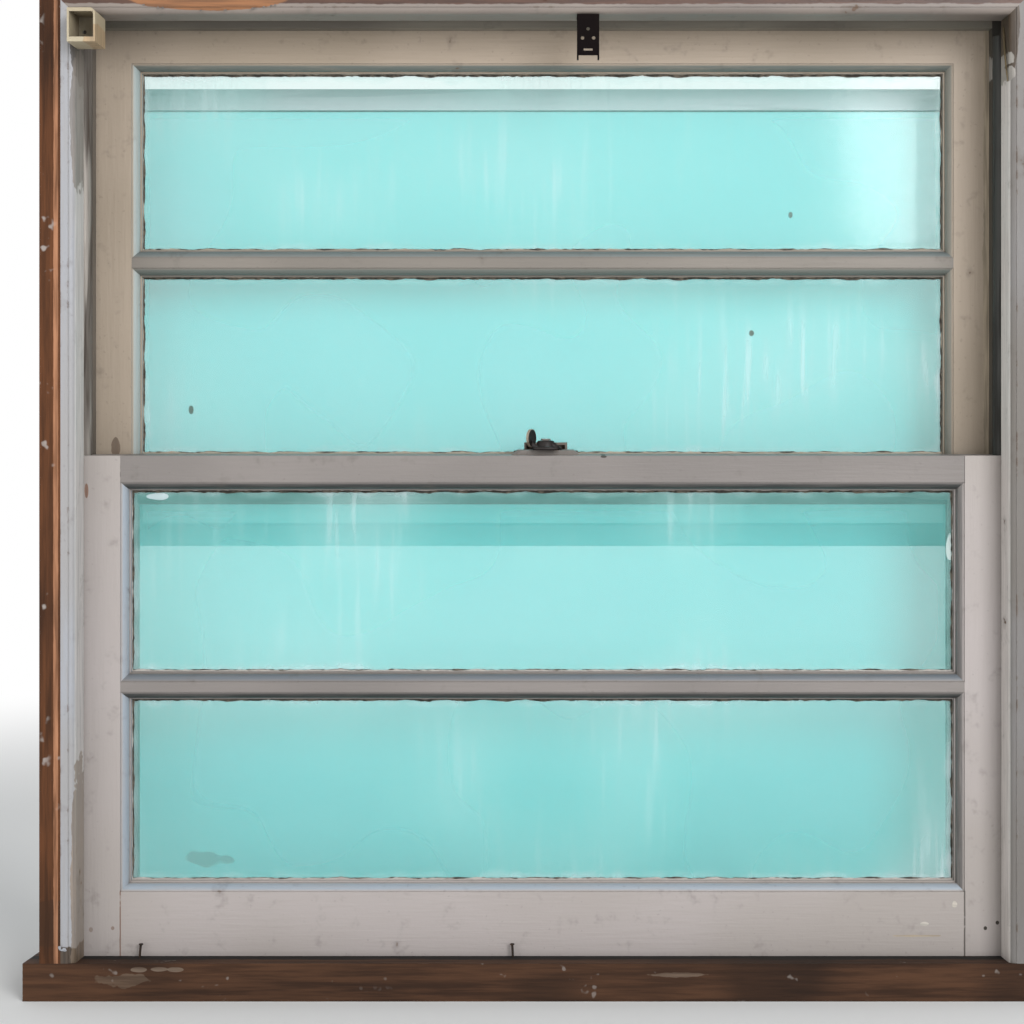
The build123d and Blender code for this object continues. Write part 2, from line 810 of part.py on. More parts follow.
def insert_bar(length, origin, towards):
    """Length of insert rail, centred on origin, that faces the glass in the direction towards."""
    across = Vector(*towards).cross(Vector(0, 1, 0))
    plane = Plane(origin=origin, x_dir=towards, z_dir=across)
    return extrude(plane * insert_outline(), amount=length / 2, both=True)


def storm_insert(name, track, bottom, top, pull):
    """Glazed insert in track 0 or 1, with a recessed pull in its bottom rail if asked for."""
    step = storm_wall + storm_track
    y = storm_front + storm_wall + storm_track / 2 + track * step
    height = top - bottom
    middle = (bottom + top) / 2
    span = 2 * (insert_half - insert_face)
    low_rail = insert_bar(span, (0, y, bottom), (0, 0, 1))
    if pull:
        low_rail = add_pull(low_rail, y - insert_depth / 2, bottom)
    left = insert_bar(height, (-insert_half, y, middle), (1, 0, 0))
    bite = insert_face - storm_glass_bite
    half = insert_half - bite
    pane = block((-half, half), (y - storm_glass_thickness / 2, y + storm_glass_thickness / 2),
                 (bottom + bite, top - bite))
    return {
        f"storm_{name}_bottom_rail": low_rail,
        f"storm_{name}_top_rail": insert_bar(span, (0, y, top), (0, 0, -1)),
        f"storm_{name}_stile_left": left,
        f"storm_{name}_stile_right": mirrored(left),
        f"storm_{name}_glass": pane,
    }


def add_pull(bar, face, bottom):
    """Pressed finger pull in the room face of a rail."""
    half = pull_length / 2
    low = bottom + insert_wall
    x = (pull_offset - half, pull_offset + half)
    pan = block((x[0] - insert_wall / 2, x[1] + insert_wall / 2), (face, face + pull_depth + insert_wall / 2),
                (low, low + pull_height))
    hollow = block(x, (face, face + pull_depth), (low + insert_wall / 2, low + pull_height - insert_wall / 2))
    return bar + pan - hollow


def storm_window():
    """Frame and both inserts of the storm window."""
    pieces = storm_frame()
    lower_insert_top = lower_top - storm_meeting_drop
    closed_top = storm_head_web - insert_seat_gap
    upper_insert_bottom = lower_insert_top - insert_face - storm_meeting_lap
    pieces |= storm_insert("lower", 0, storm_sill_top + insert_seat_gap, lower_insert_top, False)
    pieces |= storm_insert("upper", 1, upper_insert_bottom - storm_upper_drop,
                           closed_top - storm_upper_drop, True)
    return pieces


def build():
    """All the pieces of the window by name."""
    jamb, stop = left_jamb(), left_stop()
    parting, blind = left_parting_stop(), left_blind_stop()
    pieces = {
        "sill": sill(),
        "jamb_left": jamb,
        "jamb_right": mirrored(jamb),
        "head_jamb": head_jamb(),
        "stop_left": stop,
        "stop_right": mirrored(stop),
        "stop_head": head_stop(),
        "parting_stop_left": parting,
        "parting_stop_right": mirrored(parting),
        "parting_stop_head": head_parting_stop(),
        "blind_stop_left": blind,
        "blind_stop_right": mirrored(blind),
        "blind_stop_head": head_blind_stop(),
        "corner_block": corner_block(),
        "head_bracket": head_bracket(),
        "bracket_screws": bracket_screws(),
        "lock_base": lock_base(),
        "lock_screws": screws(lock_screw_places(), lock_top),
        "lock_lever": lock_lever(),
        "lock_keeper": lock_keeper(),
        "keeper_screws": screws(keeper_screw_places(),
                                upper_bottom + check_rail_height + keeper_base),
    }
    return pieces | lower_sash() | upper_sash() | balances() | storm_window()


os.makedirs("parts", exist_ok=True)
for name, piece in build().items():
    export_step(piece, f"parts/{name}.step")
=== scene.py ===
"""Old wooden double-hung sash window in its frame, dressed for a plain studio picture.

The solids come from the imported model. This script gives each of them its finish and adds what is too
fine for them: paint and grime along the glass, slotted screws, nails, loose paint, a splinter and the
beads round the storm window's panes. The sash lock's lever is made anew with its slopes and its turned
tab. All lengths are metres.
"""

import logging
import math
import random
from dataclasses import dataclass
from enum import Enum
from typing import Callable, Iterable, Sequence, Union

import bmesh
import bpy
from mathutils import Matrix, Vector, noise


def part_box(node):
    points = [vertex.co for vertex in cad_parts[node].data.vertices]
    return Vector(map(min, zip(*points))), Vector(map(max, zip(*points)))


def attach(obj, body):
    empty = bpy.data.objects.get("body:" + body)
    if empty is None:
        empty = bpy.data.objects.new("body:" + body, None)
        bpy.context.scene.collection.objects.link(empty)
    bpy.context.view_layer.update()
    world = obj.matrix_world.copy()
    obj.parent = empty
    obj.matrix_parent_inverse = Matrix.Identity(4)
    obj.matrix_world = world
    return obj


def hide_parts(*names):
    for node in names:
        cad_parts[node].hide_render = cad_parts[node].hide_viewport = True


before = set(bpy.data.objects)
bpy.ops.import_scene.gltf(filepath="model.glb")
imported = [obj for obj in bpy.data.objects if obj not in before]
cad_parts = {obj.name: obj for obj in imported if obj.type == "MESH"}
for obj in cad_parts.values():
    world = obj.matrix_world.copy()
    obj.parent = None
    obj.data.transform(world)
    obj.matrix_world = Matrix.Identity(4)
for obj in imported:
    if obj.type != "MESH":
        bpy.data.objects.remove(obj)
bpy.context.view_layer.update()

log = logging.getLogger("sash_window")

Colour = tuple[float, float, float]
Point = tuple[float, float, float]
MM = 0.001


# Shader building

class Signal:
    """Output of a shader node that can be added, scaled and compared like a number."""

    def __init__(self, recipe: "Recipe", socket: bpy.types.NodeSocket) -> None:
        """Keeps the socket and the recipe that it belongs to."""
        self.recipe = recipe
        self.socket = socket

    def _maths(self, operation: str, *values: "Value") -> "Signal":
        """Adds a Math node.

        Args:
            operation: name of the node's operation.
            values: numbers or signals for its sockets, in order.

        Returns:
            The node's output.
        """
        return self.recipe.node("ShaderNodeMath", {"operation": operation}, dict(enumerate(values)))

    def __add__(self, other: "Value") -> "Signal":
        """This plus other."""
        return self._maths("ADD", self, other)

    __radd__ = __add__

    def __sub__(self, other: "Value") -> "Signal":
        """This minus other."""
        return self._maths("SUBTRACT", self, other)

    def __rsub__(self, other: "Value") -> "Signal":
        """Other minus this."""
        return self._maths("SUBTRACT", other, self)

    def __mul__(self, other: "Value") -> "Signal":
        """This times other."""
        return self._maths("MULTIPLY", self, other)

    __rmul__ = __mul__

    def __abs__(self) -> "Signal":
        """Size of this without its sign."""
        return self._maths("ABSOLUTE", self)

    def least(self, other: "Value") -> "Signal":
        """The smaller of this and other."""
        return self._maths("MINIMUM", self, other)

    def most(self, other: "Value") -> "Signal":
        """The larger of this and other."""
        return self._maths("MAXIMUM", self, other)

    def rise(self, low: float, high: float) -> "Signal":
        """Smooth step of this.

        Args:
            low: value at which the result is 0.
            high: value at which the result is 1; it may be below low.

        Returns:
            A signal between 0 and 1.
        """
        if low > high:
            return 1 - self.rise(high, low)
        settings = {"interpolation_type": "SMOOTHSTEP"}
        return self.recipe.node("ShaderNodeMapRange", settings, {0: self, 1: low, 2: high, 3: 0.0, 4: 1.0})

    def within(self, low: float, high: float, soft: float) -> "Signal":
        """1 where this lies between low and high, fading to 0 over the length soft outside them."""
        return self.rise(low - soft, low) * self.rise(high + soft, high)


Value = Union[Signal, float]
Shade = Union[Signal, Colour]


class Recipe:
    """Node tree of one material or of the world."""

    def __init__(self, name: str, owners: bpy.types.bpy_prop_collection = bpy.data.materials) -> None:
        """Starts an empty tree in a new material, or in a new world, of that name."""
        self.owner = owners.new(name)
        self.owner.use_nodes = True
        self.tree = self.owner.node_tree
        self.tree.nodes.clear()

    def node(self, kind: str, settings: dict = {}, inputs: dict = {}, output: Union[int, str] = 0) -> Signal:
        """Adds any node.

        Args:
            kind: type of the node.
            settings: its properties, set first.
            inputs: values or signals by socket name or number.
            output: name or number of the output that is wanted.

        Returns:
            That output.
        """
        made = self.tree.nodes.new(kind)
        for name, value in settings.items():
            setattr(made, name, value)
        for key, value in inputs.items():
            self.feed(made.inputs[key], value)
        return Signal(self, made.outputs[output] if made.outputs else None)

    def feed(self, socket: bpy.types.NodeSocket, value: Union[Value, Shade]) -> None:
        """Links a signal to a socket, or sets the socket to a plain value."""
        if isinstance(value, Signal):
            self.tree.links.new(value.socket, socket)
        elif isinstance(value, tuple) and socket.type == "RGBA":
            socket.default_value = (*value, 1.0)
        else:
            socket.default_value = value

    def place(self) -> Signal:
        """Position on the object at rest."""
        return self.node("ShaderNodeTexCoord", output="Object")

    def along(self, place: Signal) -> tuple[Signal, Signal, Signal]:
        """X, Y and Z of a position."""
        split = self.node("ShaderNodeSeparateXYZ", inputs={0: place})
        outputs = split.socket.node.outputs
        return tuple(Signal(self, outputs[axis]) for axis in range(3))

    def facing(self) -> tuple[Signal, Signal, Signal]:
        """X, Y and Z of the surface's direction."""
        return self.along(self.node("ShaderNodeNewGeometry", output="True Normal"))

    def stretch(self, place: Signal, factors: Point) -> Signal:
        """Position scaled by a factor for each axis."""
        return self.node("ShaderNodeVectorMath", {"operation": "MULTIPLY"}, {0: place, 1: factors})

    def clouds(self, place: Signal, scale: float, detail: float = 1.0, rough: float = 0.55) -> Signal:
        """Noise, mostly between 0.3 and 0.7, with scale features in a metre."""
        inputs = {"Vector": place, "Scale": scale, "Detail": detail, "Roughness": rough}
        return self.node("ShaderNodeTexNoise", {}, inputs)

    def blend(self, amount: Value, first: Shade, second: Shade) -> Signal:
        """Colour between first, at amount 0, and second, at 1."""
        settings = {"data_type": "RGBA", "clamp_factor": True}
        return self.node("ShaderNodeMix", settings, {0: amount, 6: first, 7: second}, 2)

    def crevice(self, reach: float) -> Signal:
        """1 in a corner and 0 on an open face, judged over the distance reach."""
        settings = {"samples": 1, "only_local": False}
        return 1 - self.node("ShaderNodeAmbientOcclusion", settings, {"Distance": reach}, "AO")

    def edge(self, radius: float) -> Signal:
        """Above 0 along sharp edges, over about the distance radius."""
        round_edge = self.node("ShaderNodeBevel", {"samples": 2}, {"Radius": radius})
        flat = self.node("ShaderNodeNewGeometry", output="Normal")
        inputs = {0: round_edge, 1: flat}
        return 1 - self.node("ShaderNodeVectorMath", {"operation": "DOT_PRODUCT"}, inputs, "Value")

    def bump(self, height: Value, depth: float) -> Signal:
        """Direction of a surface raised by height times depth."""
        return self.node("ShaderNodeBump", {}, {"Strength": 1.0, "Distance": depth, "Height": height})

    def finish(self, **inputs: Union[Value, Shade]) -> bpy.types.Material:
        """Ends the tree in one Principled shader.

        Args:
            inputs: its sockets by name, with spaces written as underscores.

        Returns:
            The material.
        """
        sockets = {name.replace("_", " "): value for name, value in inputs.items()}
        surface = self.node("ShaderNodeBsdfPrincipled", {}, sockets)
        self.node("ShaderNodeOutputMaterial", {}, {"Surface": surface})
        return self.owner


# Finishes

class Run(Enum):
    """Direction of a member's length, of its grain and of the brush."""

    ACROSS = (0.06, 1.0, 1.0)
    UPRIGHT = (1.0, 1.0, 0.06)


def scaled(colour: Colour, share: float) -> Colour:
    """A colour made darker by a share."""
    return tuple(share * part for part in colour)


@dataclass(frozen=True)
class Crack:
    """Dark line in the paint over a joint between two members.

    Attributes:
        x: where the joint is.
        low: height at which the line starts.
        high: height at which it ends.
        width: its width.
        colour: of the dirt in it.
    """

    x: float
    low: float
    high: float
    width: float = 0.7 * MM
    colour: Colour = (0.045, 0.035, 0.028)


@dataclass(frozen=True)
class Patch:
    """Ragged oval on a face that shows something else than the finish round it.

    Attributes:
        x: middle across the window.
        z: middle height.
        half_width: half its width.
        half_height: half its height.
        colour: what shows there.
        uneven: how ragged its edge is, as a share of its size.
        cover: how much of the finish it hides.
    """

    x: float
    z: float
    half_width: float
    half_height: float
    colour: Colour
    uneven: float = 0.5
    cover: float = 1.0

    def mask(self, x: Signal, z: Signal, waves: Signal) -> Signal:
        """Builds the oval.

        Args:
            x: place across the window.
            z: height.
            waves: noise that makes the edge ragged.

        Returns:
            The cover inside the oval and 0 outside it.
        """
        across = (x - self.x) * (1 / self.half_width)
        up = (z - self.z) * (1 / self.half_height)
        reach = across * across + up * up + (waves - 0.5) * (4 * self.uneven)
        return reach.rise(1.08, 0.94) * self.cover


@dataclass(frozen=True)
class OldPaint:
    """Brushed paint of many years on wood, with dirt and painted shade in the corners and chips along the
    edges.

    Attributes:
        run: direction of the brush.
        paint: colour where it is whole.
        aged: colour where it has yellowed.
        cool: painted light: colour of moulded faces that look up or to the right, as if lit from there.
        shaded: painted shade: colour of moulded faces that look down or to the left.
        lit_sides: painted light: colour of the faces that look left or right, or None where it is no other.
        dirt: colour of what lies on it, and of the dirt and painted shade in its corners.
        wood: colour under it.
        chips: how much of it is chipped; above sparse, its edges are worn too.
        grime: how dirty it is.
        lines: strength of the fine ridges along the brush.
        cracks: lines over the joints.
        patches: bare or stained places.
        gloss: roughness where it is clean.
        sparse: share of chips up to which its edges stay whole.
    """

    name: str
    run: Run
    paint: Colour
    aged: Colour
    cool: Union[Colour, None] = None
    shaded: Colour = (0.09, 0.09, 0.08)
    lit_sides: Union[Colour, None] = None
    dirt: Colour = (0.10, 0.085, 0.07)
    wood: Colour = (0.12, 0.065, 0.035)
    chips: float = 0.3
    grime: float = 0.35
    lines: float = 0.22
    cracks: tuple[Crack, ...] = ()
    patches: tuple[Patch, ...] = ()
    gloss: float = 0.48
    sparse: float = 0.3

    def material(self) -> bpy.types.Material:
        """Builds the material."""
        made = Recipe(self.name)
        place = made.place()
        x, y, z = made.along(place)
        drawn = made.stretch(place, self.run.value)
        blotches = made.clouds(place, 5.0, 1.0)
        strokes = made.clouds(drawn, 300.0, 2.0, 0.65)
        specks = made.clouds(place, 230.0, 1.0, 0.8)
        waves = made.clouds(place, 42.0, 3.0, 0.7)
        colour = made.blend(blotches.rise(0.38, 0.66), self.paint, self.aged)
        if self.cool:
            colour = self.mouldings(made, colour)
        # Painted light: the faces that look left or right are given a brighter colour.
        if self.lit_sides:
            colour = made.blend(abs(made.facing()[0]).rise(0.75, 0.95), colour, self.lit_sides)
        colour = made.blend(strokes.rise(0.42, 0.68) * self.lines, colour, self.aged)
        film = waves.rise(0.56, 0.78) * self.grime
        # Darker in the corners, found by occlusion: partly dirt that gathers there, partly painted shade.
        corners = made.crevice(6 * MM).rise(0.15, 1.0) * (0.40 + specks * 0.5) * (self.grime + 0.25)
        dots = specks.rise(0.70, 0.75) * (0.5 * self.grime)
        colour = made.blend(film + corners + dots, colour, self.dirt)
        strength = min(1.0, 2 * self.chips)
        worn = made.edge(1.6 * MM).rise(0.01, 0.12) if self.chips > self.sparse else 0.0
        chip = waves.rise(0.60 - 0.10 * self.chips, 0.64) * worn * strength
        chip = chip.most(waves.rise(0.735 - 0.05 * self.chips, 0.745) * strength)
        colour = made.blend(chip, colour, self.wood)
        height = strokes * 0.5 + specks * 0.2
        for patch in self.patches:
            mask = patch.mask(x, z, waves)
            grain = made.blend(strokes.rise(0.3, 0.7), scaled(patch.colour, 0.55), patch.colour)
            colour = made.blend(mask, colour, grain)
        for crack in self.cracks:
            line = abs(x - crack.x + (waves - 0.5) * MM).rise(crack.width, crack.width * 0.35)
            line = line * z.within(crack.low, crack.high, 2 * MM) * waves.rise(0.38, 0.50)
            colour = made.blend(line * 0.85, colour, crack.colour)
        return made.finish(
            Base_Color=colour,
            Roughness=self.gloss + film * 0.3 + chip * 0.3,
            Normal=made.bump(height, 0.5 * MM),
        )

    def mouldings(self, made: Recipe, colour: Signal) -> Signal:
        """Paints light and shade on the sloping faces of the mouldings, by the way they face.

        Args:
            made: the material.
            colour: its colour on the flat faces.

        Returns:
            The colour on all of them.
        """
        # Painted light on the faces that look up or to the right, painted shade on those that look down or to
        # the left.
        right, _, up = made.facing()
        lit_faces = right.most(up).rise(0.10, 0.45) * (1 - up.rise(0.93, 0.98))
        under = (0 - up).rise(0.10, 0.45)
        left = (0 - right).rise(0.10, 0.45) * 0.78
        colour = made.blend(lit_faces * 0.9, colour, self.cool)
        return made.blend(under.most(left), colour, self.shaded)


@dataclass(frozen=True)
class BareWood:
    """Unpainted, darkened softwood with remnants of paint.

    Attributes:
        run: direction of the grain.
        dark: colour of the late wood.
        light: colour of the early wood.
        paint: colour of what is left of its paint.
        remnants: how much of that is left.
        soiled_and_shaded: depth from which the upper side is black with dirt and painted shade, back to the
            sash, or None.
        patches: scuffs and stains.
        soot_and_shade: colour of that dirt and painted shade.
    """

    name: str
    run: Run
    dark: Colour
    light: Colour
    paint: Colour = (0.44, 0.40, 0.37)
    remnants: float = 0.3
    soiled_and_shaded: Union[float, None] = None
    patches: tuple[Patch, ...] = ()
    soot_and_shade: Colour = (0.006, 0.005, 0.004)

    def material(self) -> bpy.types.Material:
        """Builds the material."""
        made = Recipe(self.name)
        place = made.place()
        x, y, z = made.along(place)
        drawn = made.stretch(place, scaled(self.run.value, 0.5))
        bend = made.clouds(place, 7.0, 1.0)
        rings = made.clouds(drawn, 330.0, 3.0, 0.65)
        streaks = made.clouds(drawn, 90.0, 2.0, 0.6)
        waves = made.clouds(place, 30.0, 3.0, 0.75)
        grain = rings.rise(0.34, 0.66) * 0.6 + streaks.rise(0.3, 0.7) * 0.4
        colour = made.blend(grain, self.dark, self.light)
        checks = rings.rise(0.70, 0.76)
        colour = made.blend((bend.rise(0.5, 0.72) * 0.6).most(checks * 0.8), colour, scaled(self.dark, 0.28))
        left = waves.rise(0.66 - 0.22 * self.remnants, 0.675) * streaks.rise(0.36, 0.5)
        left = left * min(1.0, 3 * self.remnants)
        colour = made.blend(left, colour, self.paint)
        for patch in self.patches:
            mask = patch.mask(x, z, waves) * (0.15 + grain * 1.1)
            colour = made.blend(mask, colour, patch.colour)
        if self.soiled_and_shaded is not None:
            # Black on the upper side back to the sash: partly dirt, partly painted shade.
            up = made.facing()[2]
            black = up.rise(0.6, 0.9) * (y + (waves - 0.5) * (16 * MM)).within(self.soiled_and_shaded, 0.0, 3 * MM)
            colour = made.blend(black, colour, self.soot_and_shade)
        return made.finish(
            Base_Color=colour,
            Roughness=0.80 - left * 0.25,
            Specular_IOR_Level=0.25,
            Normal=made.bump(grain * 0.5 - checks, 0.5 * MM),
        )


@dataclass(frozen=True)
class WindowGlass:
    """Pane with a green tint, dust, and haze that thickens towards its edges.

    Attributes:
        half: half the width of what shows of the pane.
        low: height of its lower edge.
        high: height of its upper edge.
        tint: colour of the glass.
        dust: colour of what lies on it.
        body: how much the clean pane hides.
        haze: how much dust lies on it.
        streaked: whether rain and hands have left streaks in the dust.
        marks: smears and spots on it.
        rim: width of the haze along the edges.
    """

    name: str
    half: float
    low: float
    high: float
    tint: Colour = (0.26, 0.70, 0.64)
    dust: Colour = (0.64, 0.77, 0.78)
    body: float = 0.15
    haze: float = 0.3
    streaked: bool = True
    marks: tuple[Patch, ...] = ()
    rim: float = 9 * MM

    def material(self) -> bpy.types.Material:
        """Builds the material."""
        made = Recipe(self.name)
        place = made.place()
        x, y, z = made.along(place)
        inside = (self.half - abs(x)).least(z - self.low).least(self.high - z)
        mist = made.clouds(place, 4.5, 1.0, 0.6)
        waves = made.clouds(place, 38.0, 1.0, 0.7) if self.streaked else mist
        runs = 0.5
        if self.streaked:
            runs = made.clouds(made.stretch(place, (1.0, 1.0, 0.07)), 120.0, 1.0, 0.65).rise(0.50, 0.72)
        border = (inside + (waves - 0.5) * (14 * MM)).rise(self.rim, 0.0)
        cover = (mist.rise(0.36, 0.72) * (0.40 + runs * 0.3) + border * 0.35) * self.haze
        colour = made.blend(cover.rise(0.0, 0.5), self.tint, self.dust)
        for mark in self.marks:
            mask = mark.mask(x, z, waves)
            colour = made.blend(mask, colour, mark.colour)
            cover = cover + mask * 0.6
        return made.finish(
            Base_Color=colour,
            Roughness=0.06 + cover * 0.5,
            Alpha=(self.body + cover * 0.8).least(0.95),
            IOR=1.5,
        )


@dataclass(frozen=True)
class Metal:
    """Metal, bright, dull or painted over.

    Attributes:
        second: colour of its stains and streaks.
        rough: roughness where it is clean.
        metallic: 1 for bare metal and 0 for full paint.
        spots: share of the surface that has the second colour.
        run: direction of its streaks.
        shine: how strongly its coat reflects.
    """

    name: str
    colour: Colour
    second: Colour
    rough: float = 0.45
    metallic: float = 1.0
    spots: float = 0.4
    run: Run = Run.UPRIGHT
    shine: float = 0.5

    def material(self) -> bpy.types.Material:
        """Builds the material."""
        made = Recipe(self.name)
        place = made.place()
        drawn = made.stretch(place, self.run.value)
        brushed = made.clouds(drawn, 700.0, 1.0, 0.7)
        stains = made.clouds(drawn, 70.0, 2.0, 0.7)
        mask = stains.rise(0.66 - 0.3 * self.spots, 0.70 - 0.2 * self.spots)
        streaks = made.clouds(drawn, 180.0, 2.0, 0.7).rise(0.45, 0.7)
        mask = (mask * 0.7 + streaks * 0.5 * self.spots).least(1.0)
        colour = made.blend(mask, self.colour, self.second)
        return made.finish(
            Base_Color=colour,
            Metallic=self.metallic * (1 - mask * 0.7),
            Roughness=self.rough + mask * 0.25 + (brushed - 0.5) * 0.2,
            Specular_IOR_Level=self.shine,
            Normal=made.bump(brushed * 0.3, 0.15 * MM),
        )


@dataclass(frozen=True)
class Filler:
    """Soft or crusty filling, such as putty, grime or a rubber seal.

    Attributes:
        second: colour of its lumps.
        rough: its roughness.
        scale: how many lumps lie in a metre.
        depth: height of the lumps.
    """

    name: str
    colour: Colour
    second: Colour
    rough: float = 0.8
    scale: float = 180.0
    depth: float = 0.5 * MM

    def material(self) -> bpy.types.Material:
        """Builds the material."""
        made = Recipe(self.name)
        place = made.place()
        lumps = made.clouds(place, self.scale, 3.0, 0.65)
        colour = made.blend(lumps.rise(0.4, 0.65), self.colour, self.second)
        return made.finish(
            Base_Color=colour,
            Roughness=self.rough + (lumps - 0.5) * 0.2,
            Normal=made.bump(lumps, self.depth),
        )


Finish = Union[OldPaint, BareWood, WindowGlass, Metal, Filler]


# Mesh building

def solid_object(name: str, mesh: bmesh.types.BMesh, smooth: bool = False) -> bpy.types.Object:
    """Turns a bmesh into an object of the scene.

    Args:
        name: the piece's name.
        mesh: its geometry, which is freed.
        smooth: whether its faces are shaded smooth.

    Returns:
        The object.
    """
    bmesh.ops.recalc_face_normals(mesh, faces=mesh.faces)
    data = bpy.data.meshes.new(name)
    mesh.to_mesh(data)
    mesh.free()
    for face in data.polygons:
        face.use_smooth = smooth
    made = bpy.data.objects.new(name, data)
    bpy.context.scene.collection.objects.link(made)
    return made


def settle(name: str, mesh: bmesh.types.BMesh, body: str, finish: Finish,
           smooth: bool = False) -> bpy.types.Object:
    """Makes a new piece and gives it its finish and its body.

    Args:
        name: the piece's name.
        mesh: its geometry, which is freed.
        body: the CAD body that it rides on.
        finish: its finish.
        smooth: whether its faces are shaded smooth.

    Returns:
        The piece.
    """
    made = solid_object(name, mesh, smooth)
    made.data.materials.append(finish.material())
    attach(made, body)
    log.info("%s: %d faces on %s", made.name, len(made.data.polygons), body)
    return made


def loft(mesh: bmesh.types.BMesh, sections: Sequence[Sequence[Vector]], closed: bool) -> None:
    """Joins sections of like points with quads.

    Args:
        mesh: receives the faces.
        sections: closed outlines, in order.
        closed: whether the last one joins the first; otherwise both ends are capped.
    """
    rows = [[mesh.verts.new(point) for point in section] for section in sections]
    count = len(rows[0])
    for step in range(len(rows) if closed else len(rows) - 1):
        here, there = rows[step], rows[(step + 1) % len(rows)]
        for i in range(count):
            j = (i + 1) % count
            mesh.faces.new((here[i], here[j], there[j], there[i]))
    if not closed:
        mesh.faces.new(reversed(rows[0]))
        mesh.faces.new(rows[-1])


def ring(centre: Vector, radius: float, sides: int) -> list[Vector]:
    """Points of a level circle."""
    turns = (2 * math.pi * side / sides for side in range(sides))
    return [centre + radius * Vector((math.cos(turn), math.sin(turn), 0.0)) for turn in turns]


def ragged(at: float, seed: float, scale: float) -> float:
    """Uneven value between about -1 and 1 at a distance along an edge."""
    coarse = noise.noise(Vector((at * scale, seed, 0.0)))
    fine = noise.noise(Vector((at * scale * 4.3, seed, 7.0)))
    return 1.5 * coarse + 0.8 * fine


@dataclass(frozen=True)
class Light:
    """Glazed opening of a sash, as it shows from the room.

    Attributes:
        half: half its width.
        low: height of its lower edge.
        high: height of its upper edge.
        glass: depth of the pane's room face.
    """

    half: float
    low: float
    high: float
    glass: float

    def walk(self, step: float) -> Iterable[tuple[float, Vector, Vector]]:
        """Goes round the edge.

        Args:
            step: distance between two stops.

        Returns:
            For each stop its distance from the start, its place, and the direction to the middle.
        """
        corners = [Vector((-self.half, self.glass, self.low)), Vector((self.half, self.glass, self.low)),
                   Vector((self.half, self.glass, self.high)), Vector((-self.half, self.glass, self.high))]
        inward = [Vector((0, 0, 1)), Vector((-1, 0, 0)), Vector((0, 0, -1)), Vector((1, 0, 0))]
        travelled = 0.0
        for side in range(4):
            start, end = corners[side], corners[(side + 1) % 4]
            length = (end - start).length
            stops = max(2, round(length / step))
            for stop in range(stops):
                share = stop / stops
                turn = inward[side] if stop else inward[side] + inward[side - 1]
                yield travelled + share * length, start.lerp(end, share), turn
            travelled += length


@dataclass(frozen=True)
class GlassEdge:
    """Ragged strip of old paint or grime that lies on a pane along its edge.

    Attributes:
        reach: mean width.
        uneven: how far the width wanders.
        thick: thickness at the moulding.
        outward: how far the strip starts outside the sight line, under the moulding's face.
        seed: picks the shape.
        step: distance between two sections.
        least: smallest width.
    """

    reach: float
    uneven: float
    thick: float
    outward: float
    seed: float
    step: float = 2.2 * MM
    least: float = 0.25 * MM

    def build(self, light: Light, mesh: bmesh.types.BMesh, sides: Callable[[Vector], float]) -> None:
        """Adds the strip to a mesh.

        Args:
            light: the opening whose edge it follows.
            mesh: receives the faces.
            sides: how wide the strip is for a direction to the middle, as a share of reach.
        """
        sections = []
        room = Vector((0, -1, 0))
        for at, place, inward in light.walk(self.step):
            width = self.reach * sides(inward) + self.uneven * ragged(at, self.seed, 55.0)
            width = max(self.least, width)
            start = place - inward * self.outward
            sections.append([
                start,
                start + room * self.thick,
                place + inward * width * 0.55 + room * self.thick * 0.8,
                place + inward * width + room * self.thick * 0.25,
                place + inward * width,
            ])
        loft(mesh, sections, True)


# The window

REBATE = 6.7 * MM
"""How far a pane reaches past the sight line of its sash."""

SHARP = math.radians(40)
"""Angle from which an edge counts as sharp."""


def light_of(node: str, hidden: float = REBATE) -> Light:
    """Reads the visible opening of a pane from its solid, whose edges are hidden over a width."""
    low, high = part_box(node)
    return Light(high.x - hidden, low.z + hidden, high.z - hidden, low.y)


def dress(nodes: Iterable[str], finish: Finish) -> None:
    """Gives CAD nodes one finish."""
    material = finish.material()
    for node in nodes:
        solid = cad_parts[node]
        solid.data.materials.clear()
        solid.data.materials.append(material)
        log.info("%s: %s", node, material.name)


def clear_pane(node: str) -> None:
    """Lets lamp light and scattered light through a pane without a shadow, as real glass nearly does."""
    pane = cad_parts[node]
    pane.visible_shadow = False
    pane.visible_diffuse = False


def soften(nodes: Iterable[str], width: float) -> None:
    """Rounds the sharp edges of CAD nodes, as paint and wear do."""
    for node in nodes:
        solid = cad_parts[node]
        rounding = solid.modifiers.new("worn edges", "BEVEL")
        rounding.width = width
        rounding.segments = 2
        rounding.limit_method = "ANGLE"
        rounding.angle_limit = SHARP


